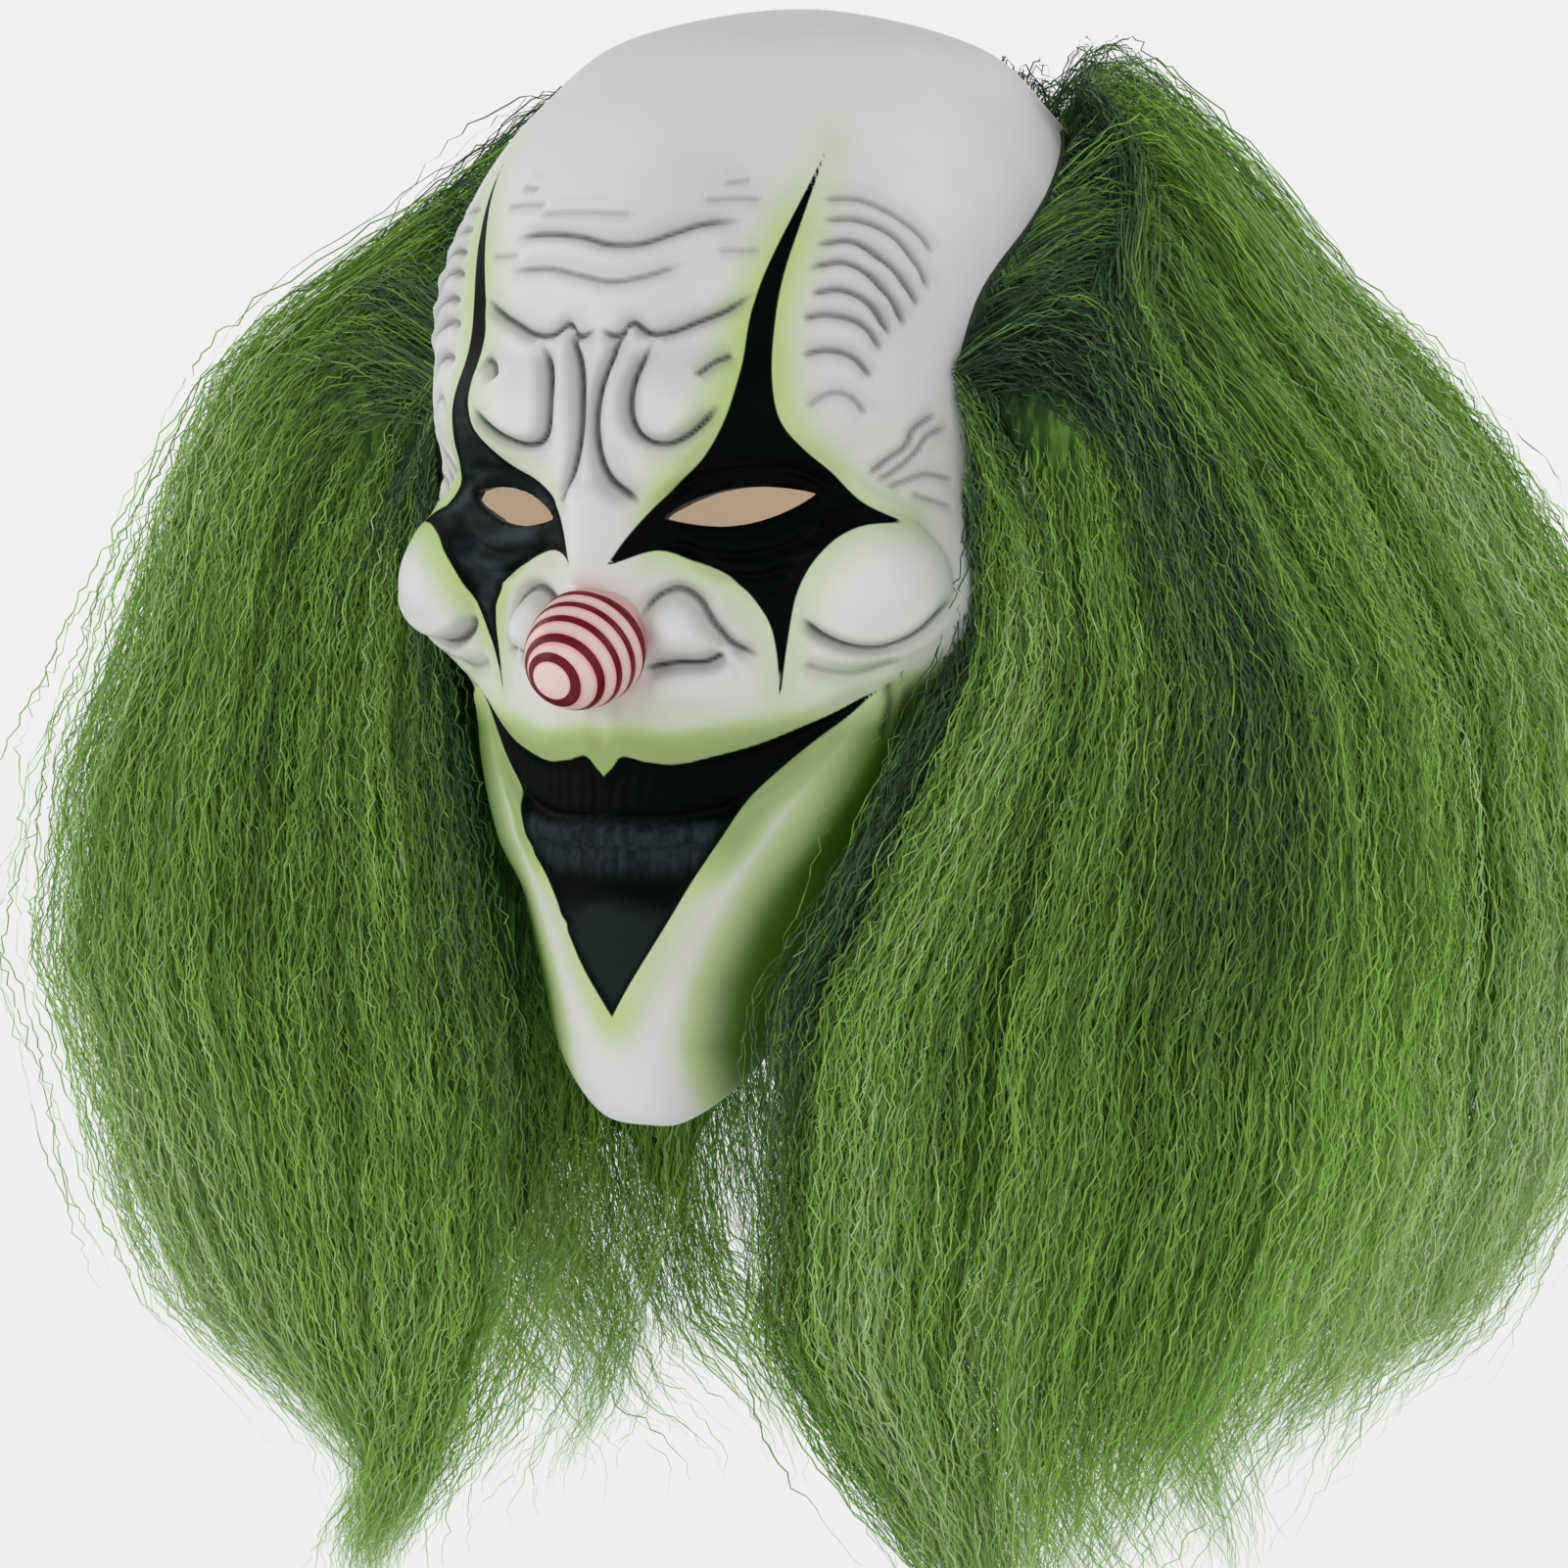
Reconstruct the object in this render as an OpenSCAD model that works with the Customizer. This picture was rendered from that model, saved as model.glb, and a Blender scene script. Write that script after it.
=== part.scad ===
// Pull-over latex clown mask: a bald cast-latex head with a bonded cone nose and crimped hair.
// The hair hangs from sewn weft bands that are bonded in three rows round the sides and back.
// Frame: +Z up, the face looks toward -Y, the wearer's left is +X.
// The origin lies inside the head, on its vertical axis at eye level.

/* [Latex shell] */
// widest breadth of the latex head
head_w = 166; // [158:1:174]
// length of the latex head from brow to occiput
head_d = 204; // [196:1:212]
// thickness of the cast latex
wall_t = 2.2; // [1.8:0.1:3]

/* [Eye holes] */
// distance between the inner corners of the two eye holes
eye_gap = 31; // [28:1:36]
// length of one eye hole
eye_l = 33; // [28:1:36]
// height of one eye hole
eye_h = 9; // [7:1:12]
// upward slant of the eye holes toward the temples
eye_slant = 6; // [2:1:12]

/* [Nose cone] */
// diameter of the cone where it meets the face
nose_d = 28; // [24:1:32]
// length of the cone from its base to its tip
nose_l = 22; // [18:1:28]
// downward tip of the cone
nose_tilt = 25; // [15:1:30]

/* [Weft bands] */
// height of a sewn band
band_h = 8; // [5:1:10]
// thickness of a sewn band
band_t = 1.6; // [1:0.1:2]

/* [Hair] */
// half breadth of the hair at its widest
hair_w = 222; // [200:1:240]
// depth of the hair behind the head axis
hair_d = 165; // [150:1:180]
// gap between the solids of neighbouring curtains
hair_gap = 3; // [2:0.1:4]
// clearance between the latex and the hair solids
hair_clear = 5; // [4:0.1:6]

/* [Hidden] */

latex_white = [0.86, 0.87, 0.84];
nose_pink = [0.90, 0.62, 0.62];
band_green = [0.10, 0.20, 0.08];
hair_greens = [[0.16, 0.30, 0.10], [0.24, 0.43, 0.16], [0.33, 0.57, 0.20]];

// Head guides, at guide_w by guide_d. Each row holds five points of one ring, from the forehead round
// to the occiput: front, front corner, side, rear corner and back. The rings tilt in the lower half,
// so the last one runs from under the chin, along the jaw, to the nape.
guide_w = 166;
guide_d = 204;
guides = [
    [[0, 4, 122], [0, 4, 122], [0, 4, 122], [0, 4, 122], [0, 4, 122]],
    [[0, -42, 114], [30, -30, 114], [39, 4, 114], [31, 37, 113], [0, 49, 112]],
    [[0, -67, 97], [45, -48, 97], [57, 4, 97], [44, 54, 96], [0, 73, 94]],
    [[0, -82, 78], [55, -60, 78], [69, 3, 77], [54, 67, 75], [0, 90, 73]],
    [[0, -91, 58], [60, -67, 58], [76, 2, 56], [59, 75, 53], [0, 100, 50]],
    [[0, -95, 38], [62, -70, 38], [80, 1, 34], [62, 79, 29], [0, 105, 25]],
    [[0, -97, 20], [63, -71, 18], [82, 0, 12], [62, 79, 6], [0, 106, 1]],
    [[0, -95, 1], [62, -70, -1], [81, -3, -8], [60, 76, -15], [0, 103, -21]],
    [[0, -92, -18], [62, -67, -20], [78, -6, -26], [58, 72, -34], [0, 97, -41]],
    [[0, -89, -37], [60, -62, -38], [74, -9, -43], [56, 67, -51], [0, 91, -58]],
    [[0, -90, -56], [54, -61, -56], [70, -12, -57], [54, 63, -64], [0, 86, -71]],
    [[0, -93, -77], [46, -67, -76], [65, -14, -70], [53, 60, -75], [0, 83, -81]],
    [[0, -92, -99], [38, -69, -97], [60, -17, -81], [52, 58, -84], [0, 81, -88]],
    [[0, -90, -120], [32, -70, -117], [54, -20, -90], [51, 57, -91], [0, 80, -94]],
    [[0, -87, -138], [27, -71, -133], [49, -24, -97], [51, 56, -97], [0, 80, -99]],
    [[0, -80, -150], [20, -68, -144], [46, -28, -102], [50, 55, -101], [0, 79, -103]],
    [[0, -69, -153], [15, -60, -145], [43, -29, -104], [48, 54, -102], [0, 77, -104]]
];
last_guide = len(guides) - 1;

// Swellings and hollows of the face: centre, reach along x, y and z, and height along the normal.
// Each one off the middle stands on both sides of the face.
swells = [
    [[0, -96, -10], [9, 40, 22], 9],
    [[30, -92, 21], [20, 40, 11], 6],
    [[34, -84, -1], [21, 40, 9], -7],
    [[68, -58, -25], [22, 26, 18], 11],
    [[20, -90, -31], [9, 30, 8], 8],
    [[18, -90, -54], [24, 40, 12], 3],
    [[0, -92, -83], [26, 40, 8], 4],
    [[64, -40, -49], [20, 30, 9], -4],
    [[61, -70, 7], [13, 22, 10], -5]
];

ring_steps = 56;
row_steps = 45;
// share by which the ring points crowd toward the face
ring_crowding = 0.6;

// Weft lines on the head, as points [u, v]: u runs round a ring from 0 at the face through 2 at the side
// to 4 at the occiput, and v counts the guides down from the crown. Lower, middle, then upper.
side_wefts = [
    [[2.52, 6.6], [2.2, 6.9], [1.8, 7.4], [1.5, 8.1], [1.42, 8.8]],
    [[2.52, 4.4], [2.2, 4.8], [1.8, 5.4], [1.5, 6.2], [1.42, 7.0]],
    [[2.50, 2.4], [2.2, 2.9], [1.8, 3.7], [1.5, 4.5], [1.36, 5.5]]
];
back_wefts = [
    [[2.72, 6.5], [3.3, 6.4], [4, 6.4], [4.7, 6.4], [5.28, 6.5]],
    [[2.72, 4.3], [3.3, 4.2], [4, 4.2], [4.7, 4.2], [5.28, 4.3]],
    [[2.80, 2.3], [3.3, 2.25], [4, 2.2], [4.7, 2.25], [5.20, 2.3]]
];
weft_steps = 6;
// depth to which a band is bedded in the latex
band_bed = 0.4;

// Hair layout. Curtain 0 is the lower one, next to the head; curtain 2 is the upper, outer one.
hair_levels = [110, 100, 88, 74, 60, 54, 36, 16, 10, -12, -40, -75, -115, -155, -190, -215, -240, -262];
curtain_top = [10, 54, 110];
side_bottom = [-262, -240, -215];
back_bottom = [-240, -215, -190];
// share of the hair's thickness at which each curtain begins, over height
curtain_from = [
    [[-262, 0], [100, 0]],
    [[-60, 0.33], [10, 0.12], [16, 0], [100, 0]],
    [[-60, 0.66], [10, 0.50], [54, 0.16], [60, 0], [100, 0]],
    [[-262, 1], [100, 1]]
];
// plane between the side hair and the back hair
part_y = 46;
// half breadth and rear reach of the latex head over height
head_x = [[-130, 56], [-90, 64], [-45, 76], [0, 83], [40, 83], [60, 79], [78, 73], [97, 63], [112, 47]];
head_y = [[-130, 76], [-90, 84], [-45, 97], [0, 106], [30, 105], [52, 102], [75, 94], [95, 80], [112, 56]];
// depth at which the inner side of the hair closes round the face, over height
face_depth = [[-120, 500], [-60, 180], [-20, 140], [30, 112], [100, 112]];
// outer reach of the back hair over height, as a share of its full depth
back_spread = [[-240, 0.80], [-190, 0.94], [-120, 1], [-40, 0.98], [16, 0.92], [54, 0.84], [74, 0.76],
               [88, 0.69], [100, 0.60], [110, 0.50]];
// outer reach of the hair over height, as a share of its full half breadth
spread = [[-262, 0.66], [-240, 0.78], [-180, 0.96], [-120, 1], [-70, 1], [-35, 0.95], [7, 0.84], [30, 0.76],
          [51, 0.67], [84, 0.54], [100, 0.44], [110, 0.35]];
// front edge of the side hair over height
hair_front = [[-262, -76], [-200, -92], [-120, -84], [-75, -62], [-40, -42], [0, -44], [30, -44], [48, -34],
              [60, -8], [87, 26], [110, 34]];
// height below which every curtain reaches as far forward as the upper one
full_front_z = -120;
// part of the hair's thickness that is lost toward its front edge and toward its rear corners
front_thinning = 0.6;
corner_thinning = 0.5;
thinning_power = 2.5;
// stations across the back hair, as shares of the head's half breadth, then of the hair beyond it
inner_stations = [0, 0.35, 0.62, 0.82, 0.94, 1];
outer_stations = [0.35, 0.7, 1];
side_steps = 9;

nose_base = [0, -98, -35];
nose_steps = 12;
nose_wall = 2;
// the cone reaches this far behind its base plane, into the latex
nose_bed = 8;
// points along one edge of an eye hole
eye_steps = 8;
// height of the eye holes' middle, just under the eye line
eye_z = -2.5;

// Catmull-Rom curve between b and c.
function spline(a, b, c, d, t) =
    0.5 * (2 * b + (c - a) * t + (2 * a - 5 * b + 4 * c - d) * t * t + (3 * b - a - 3 * c + d) * t * t * t);

// A smooth curve through a list of points, at t points along it.
function along(points, t) =
    let (last = len(points) - 1, k = min(floor(t), last - 1))
    spline(points[max(k - 1, 0)], points[k], points[k + 1], points[min(k + 2, last)], t - k);

function unit(v) = v / max(norm(v), 1e-9);
function mirror_x(p) = [-p.x, p.y, p.z];

// The ring guides seen from the other side of the crown, which close the dome smoothly.
function opposite(ring) = [for (i = [4:-1:0]) mirror_x(ring[i])];
function guide(k) = k < 0 ? opposite(guides[-k]) : guides[min(k, last_guide)];

// The five guide points at height parameter v.
function ring_at(v) =
    let (k = min(floor(v), last_guide - 1))
    [for (i = [0:4]) spline(guide(k - 1)[i], guide(k)[i], guide(k + 1)[i], guide(k + 2)[i], v - k)];

function whole_ring(r) = [r[0], r[1], r[2], r[3], r[4], mirror_x(r[3]), mirror_x(r[2]), mirror_x(r[1])];
function on_ring(w, u) =
    let (k = floor(u))
    spline(w[(k + 7) % 8], w[k % 8], w[(k + 1) % 8], w[(k + 2) % 8], u - k);

function sized(p) = [p.x * head_w / guide_w, p.y * head_d / guide_d, p.z];
function head_point(u, v) = sized(on_ring(whole_ring(ring_at(v)), u));
function head_normal(u, v) =
    let (e = 0.05)
    unit(cross(
        head_point(u, v + e) - head_point(u, v - e),
        head_point(u + e, v) - head_point(u + 8 - e, v)
    ));

// Height of the swellings at a point of the plain head.
function fade(p, swell) =
    let (d = [for (i = [0:2]) (p[i] - swell[0][i]) / swell[1][i]])
    swell[2] * exp(-(d * d));
function swell_sum(p, i = 0) =
    i == len(swells) ? 0
    : fade(p, swells[i]) + (swells[i][0].x > 0 ? fade(mirror_x(p), swells[i]) : 0) + swell_sum(p, i + 1);

// Ring points, crowded toward the face.
function ring_u(j) = 8 * (j / ring_steps - ring_crowding * sin(360 * j / ring_steps) / (2 * PI));

// Triangles between the rings of a tube, for rings that are listed from the top down.
function side_faces(rings, steps) = [
    for (i = [0:rings - 2], j = [0:steps - 1])
    let (a = i * steps + j, b = i * steps + (j + 1) % steps)
    each [[a, b, b + steps], [a, b + steps, a + steps]]
];

// Triangles that close the first and last section of a strip, whose point j lies across from point steps-1-j.
function end_faces(rings, steps) = [
    for (j = [0:steps / 2 - 2])
    let (a = j, b = j + 1, c = steps - 2 - j, d = steps - 1 - j, low = (rings - 1) * steps)
    each [[d, c, b], [d, b, a], [low + a, low + b, low + c], [low + a, low + c, low + d]]
];

// A solid through a list of closed sections, each a strip with two long sides.
module loft(sections) {
    steps = len(sections[0]);
    polyhedron(
        [for (section = sections) each section],
        concat(side_faces(len(sections), steps), end_faces(len(sections), steps)),
        convexity = 6
    );
}

// The latex as one closed wall: crown point, outer rings, inner rings, inner crown point.
module latex_wall() {
    outside = [
        for (i = [1:row_steps], j = [0:ring_steps - 1])
        let (u = ring_u(j), v = i / row_steps * last_guide, p = head_point(u, v), n = head_normal(u, v))
        [p + n * swell_sum(p), n]
    ];
    crown = guides[0][0];
    count = len(outside);
    skin = concat(
        [for (q = outside) q[0]],
        [for (i = [row_steps - 1:-1:0], j = [0:ring_steps - 1])
            let (q = outside[i * ring_steps + j]) q[0] - q[1] * wall_t]
    );
    rings = 2 * row_steps;
    last = (rings - 1) * ring_steps;
    polyhedron(
        concat(skin, [crown, crown - [0, 0, wall_t]]),
        concat(
            side_faces(rings, ring_steps),
            [for (j = [0:ring_steps - 1]) [2 * count, (j + 1) % ring_steps, j]],
            [for (j = [0:ring_steps - 1]) [2 * count + 1, last + j, last + (j + 1) % ring_steps]]
        ),
        convexity = 10
    );
}

// Almond outline of one eye hole, from the inner corner over the top to the outer corner and back.
function eye_edge(t, side) = [
    eye_gap / 2 + eye_l * t,
    eye_z + eye_slant * (t - 0.5) + side * eye_h / 2 * pow(sin(180 * pow(t, side > 0 ? 0.8 : 1.1)), 0.8)
];
module eye_hole() {
    rotate([90, 0, 0])
        linear_extrude(height = 140)
            polygon([
                each [for (i = [0:eye_steps]) eye_edge(i / eye_steps, 1)],
                each [for (i = [eye_steps - 1:-1:1]) eye_edge(i / eye_steps, -1)]
            ]);
}

module latex_shell() {
    color(latex_white)
        difference() {
            latex_wall();
            eye_hole();
            mirror([1, 0, 0])
                eye_hole();
        }
}

// Outline of the rounded nose from its base edge to its tip.
function nose_edge(r, l) = [
    for (i = [0:nose_steps])
    let (angle = 90 * i / nose_steps)
    [r * cos(angle), l * sin(angle)]
];
module nose_cone() {
    outer = nose_edge(nose_d / 2, nose_l);
    inner = nose_edge(nose_d / 2 - nose_wall, nose_l - nose_wall);
    color(nose_pink)
        translate(nose_base)
            rotate([90 + nose_tilt, 0, 0])
                rotate_extrude($fn = 96)
                    polygon(concat(
                        [[nose_d / 2 - nose_wall, -nose_bed], [nose_d / 2, -nose_bed]],
                        outer,
                        [for (i = [nose_steps:-1:0]) inner[i]]
                    ));
}

// A sewn band that follows a weft line over the latex.
module band(line) {
    count = (len(line) - 1) * weft_steps;
    color(band_green)
        loft([
            for (i = [0:count])
            let (
                uv = along(line, i / weft_steps),
                p = head_point(uv[0], uv[1]),
                n = head_normal(uv[0], uv[1]),
                run = along(line, min(i / weft_steps + 0.1, len(line) - 1))
                    - along(line, max(i / weft_steps - 0.1, 0)),
                ahead = unit(head_point(uv[0] + run[0] / 4, uv[1] + run[1] / 4) - p),
                across = unit(cross(ahead, n)) * band_h / 2,
                low = -n * band_bed,
                high = n * (band_t - band_bed)
            )
            [p - across + low, p - across + high, p + across + high, p + across + low]
        ]);
}

// Levels between the top and the bottom of a curtain.
function levels(top, bottom) = [for (z = hair_levels) if (z <= top && z >= bottom) z];

// Inner and outer limits of a curtain, as a share of the hair's whole thickness t at height z.
function curtain_limits(curtain, z, t) = [
    t * lookup(z, curtain_from[curtain]) + hair_gap / 2,
    t * lookup(z, curtain_from[curtain + 1]) - hair_gap / 2
];

// One curtain of the left side hair.
module side_curtain(curtain) {
    top = curtain_top[curtain];
    loft([
        for (z = levels(top, side_bottom[curtain]))
        let (
            lag = (curtain_top[2] - top) * max(0, (z - full_front_z) / (top - full_front_z)),
            front = lookup(z + lag, hair_front),
            back = part_y - hair_gap / 2,
            reach = hair_w * lookup(z, spread) - lookup(z, head_x) - hair_clear,
            edge = [
                for (j = [0:side_steps])
                let (
                    q = j / side_steps,
                    y = back + (front - back) * q,
                    t = reach * (1 - front_thinning * pow(q, thinning_power)),
                    near = hair_clear + lookup(z, head_x) * head_w / guide_w
                        * sqrt(1 - pow(min(y, 0) / lookup(z, face_depth), 2)),
                    limits = curtain_limits(curtain, z, t)
                )
                [y, near + limits[0], near + limits[1]]
            ]
        )
        [
            each [for (p = edge) [p[1], p[0], z]],
            each [for (j = [side_steps:-1:0]) [edge[j][2], edge[j][0], z]]
        ]
    ]);
}

// One curtain of the back hair.
module back_curtain(curtain) {
    loft([
        for (z = levels(curtain_top[curtain], back_bottom[curtain]))
        let (
            half = hair_w * lookup(z, spread),
            inner = lookup(z, head_x) * head_w / guide_w + hair_clear,
            right_half = concat(
                [for (s = inner_stations) s * inner],
                [for (s = outer_stations) inner + s * (half - inner)]
            ),
            last = len(right_half) - 1,
            stations = concat([for (i = [last:-1:1]) -right_half[i]], right_half),
            bulge = lookup(z, head_y) * head_d / guide_d + hair_clear - part_y,
            reach = hair_d * lookup(z, back_spread) - part_y,
            edge = [
                for (x = stations)
                let (
                    near = bulge * sqrt(max(0, 1 - pow(x / inner, 2))),
                    far = reach * (1 - corner_thinning * pow(abs(x) / half, thinning_power)),
                    limits = curtain_limits(curtain, z, far - near)
                )
                [x, part_y + near + limits[0], part_y + near + limits[1]]
            ]
        )
        [
            each [for (p = edge) [p[0], p[1], z]],
            each [for (i = [len(edge) - 1:-1:0]) [edge[i][0], edge[i][2], z]]
        ]
    ]);
}

module band_left_upper() band(side_wefts[2]);
module band_left_middle() band(side_wefts[1]);
module band_left_lower() band(side_wefts[0]);
module band_right_upper() mirror([1, 0, 0]) band(side_wefts[2]);
module band_right_middle() mirror([1, 0, 0]) band(side_wefts[1]);
module band_right_lower() mirror([1, 0, 0]) band(side_wefts[0]);
module band_back_upper() band(back_wefts[2]);
module band_back_middle() band(back_wefts[1]);
module band_back_lower() band(back_wefts[0]);

module hair_left_upper() color(hair_greens[2]) side_curtain(2);
module hair_left_middle() color(hair_greens[1]) side_curtain(1);
module hair_left_lower() color(hair_greens[0]) side_curtain(0);
module hair_right_upper() mirror([1, 0, 0]) hair_left_upper();
module hair_right_middle() mirror([1, 0, 0]) hair_left_middle();
module hair_right_lower() mirror([1, 0, 0]) hair_left_lower();
module hair_back_upper() color(hair_greens[2]) back_curtain(2);
module hair_back_middle() color(hair_greens[1]) back_curtain(1);
module hair_back_lower() color(hair_greens[0]) back_curtain(0);

latex_shell();
nose_cone();
band_left_upper();
band_left_middle();
band_left_lower();
band_right_upper();
band_right_middle();
band_right_lower();
band_back_upper();
band_back_middle();
band_back_lower();
hair_left_upper();
hair_left_middle();
hair_left_lower();
hair_right_upper();
hair_right_middle();
hair_right_lower();
hair_back_upper();
hair_back_middle();
hair_back_lower();
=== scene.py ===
"""Looks of the latex clown mask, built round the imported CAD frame. Tables are in millimetres and degrees."""

import math

import bpy
import numpy as np
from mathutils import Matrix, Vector


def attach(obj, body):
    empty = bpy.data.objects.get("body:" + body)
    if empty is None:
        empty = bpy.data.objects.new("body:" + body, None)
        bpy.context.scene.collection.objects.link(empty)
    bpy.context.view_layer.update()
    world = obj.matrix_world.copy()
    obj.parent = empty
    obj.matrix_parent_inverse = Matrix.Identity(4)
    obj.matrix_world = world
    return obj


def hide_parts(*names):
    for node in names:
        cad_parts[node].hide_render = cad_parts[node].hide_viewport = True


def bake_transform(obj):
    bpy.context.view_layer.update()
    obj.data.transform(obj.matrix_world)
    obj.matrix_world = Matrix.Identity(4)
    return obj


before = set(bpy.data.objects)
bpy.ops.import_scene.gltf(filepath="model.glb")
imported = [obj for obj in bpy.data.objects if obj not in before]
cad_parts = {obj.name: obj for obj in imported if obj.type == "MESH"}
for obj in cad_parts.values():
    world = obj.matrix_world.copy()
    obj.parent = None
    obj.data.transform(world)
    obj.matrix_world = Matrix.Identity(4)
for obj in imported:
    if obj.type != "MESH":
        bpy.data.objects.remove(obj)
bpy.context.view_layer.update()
rng = np.random.default_rng(31)
MM = 0.001

# ---------------------------------------------------------------- the head's form
# Rings from the crown down, each with five points: front, front corner, side, rear corner and back.
GUIDES = [
    [(0, 4, 122)] * 5,
    [(0, -42, 114), (30, -30, 114), (39, 4, 114), (31, 37, 113), (0, 49, 112)],
    [(0, -67, 97), (45, -48, 97), (57, 4, 97), (44, 54, 96), (0, 73, 94)],
    [(0, -82, 78), (55, -60, 78), (69, 3, 77), (54, 67, 75), (0, 90, 73)],
    [(0, -91, 58), (60, -67, 58), (76, 2, 56), (59, 75, 53), (0, 100, 50)],
    [(0, -95, 38), (62, -70, 38), (80, 1, 34), (62, 79, 29), (0, 105, 25)],
    [(0, -97, 20), (63, -71, 18), (82, 0, 12), (62, 79, 6), (0, 106, 1)],
    [(0, -95, 1), (62, -70, -1), (81, -3, -8), (60, 76, -15), (0, 103, -21)],
    [(0, -92, -18), (62, -67, -20), (78, -6, -26), (58, 72, -34), (0, 97, -41)],
    [(0, -89, -37), (60, -62, -38), (74, -9, -43), (56, 67, -51), (0, 91, -58)],
    [(0, -90, -56), (54, -61, -56), (70, -12, -57), (54, 63, -64), (0, 86, -71)],
    [(0, -93, -77), (46, -67, -76), (65, -14, -70), (53, 60, -75), (0, 83, -81)],
    [(0, -92, -99), (38, -69, -97), (60, -17, -81), (52, 58, -84), (0, 81, -88)],
    [(0, -90, -120), (32, -70, -117), (54, -20, -90), (51, 57, -91), (0, 80, -94)],
    [(0, -87, -138), (27, -71, -133), (49, -24, -97), (51, 56, -97), (0, 80, -99)],
    [(0, -80, -150), (20, -68, -144), (46, -28, -102), (50, 55, -101), (0, 79, -103)],
    [(0, -69, -153), (15, -60, -145), (43, -29, -104), (48, 54, -102), (0, 77, -104)],
]
LAST = len(GUIDES) - 1
WALL = 2.2

# Swellings and hollows: centre, reach and height. Those off the middle are on both sides.
SWELLS = [
    ((0, -96, -10), (9, 40, 22), 9),
    ((30, -92, 21), (20, 40, 11), 6),
    ((34, -84, -1), (21, 40, 9), -7),
    ((68, -58, -25), (22, 26, 18), 8),
    ((20, -90, -31), (9, 30, 8), 3),
    ((18, -90, -54), (24, 40, 12), 3),
    ((0, -92, -83), (26, 40, 8), 2),
    ((64, -40, -49), (20, 30, 9), -4),
    ((61, -70, 7), (13, 22, 10), -5),
]
EYE_GAP, EYE_LENGTH, EYE_HEIGHT, EYE_SLANT, EYE_Z = 31, 33, 9, 6, -2.5

# ---------------------------------------------------------------- the face map
# Features are drawn as (degrees round the head from the middle of the face, height in mm).
# They are on both sides unless they are in ACROSS.
DEGREE = 1.6  # mm that one degree counts for
MAP_Y = 10  # the degrees are measured about this y

# Edges of the black patch round an eye, from tip to tip: top, outer, bottom and inner.
EYE_PATCH = [
    [(31.5, 84), (28, 67), (25.3, 52), (24.2, 40), (24, 28), (25, 18), (28, 11), (32, 5), (36, -1.5),
     (41, -6)],
    [(41, -6), (35, -7), (30.5, -12), (27.3, -21), (25.6, -34), (24.2, -50)],
    [(24.2, -50), (23.9, -37), (22.5, -28), (18.5, -20), (13, -15.5), (8, -13), (2.5, -15.5)],
    [(2.5, -15.5), (4.5, -9.5), (7, -4), (10.5, 2), (15, 9), (18.3, 18), (20, 29), (21, 43), (24, 58),
     (31.5, 84)],
]
# Edges of one half of the black mouth: upper, then lower, from the middle to the corner and to the tip.
MOUTH = [
    [(0, -67), (1.2, -65), (2.8, -62.4), (6, -63.5), (10, -64), (15, -62), (21, -59), (27, -55), (33, -51),
     (39, -46)],
    [(39, -46), (35, -52), (30, -57.5), (25, -64), (20, -72), (16, -81.5), (12, -92), (8.5, -102),
     (4.5, -113), (0, -125)],
]
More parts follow.
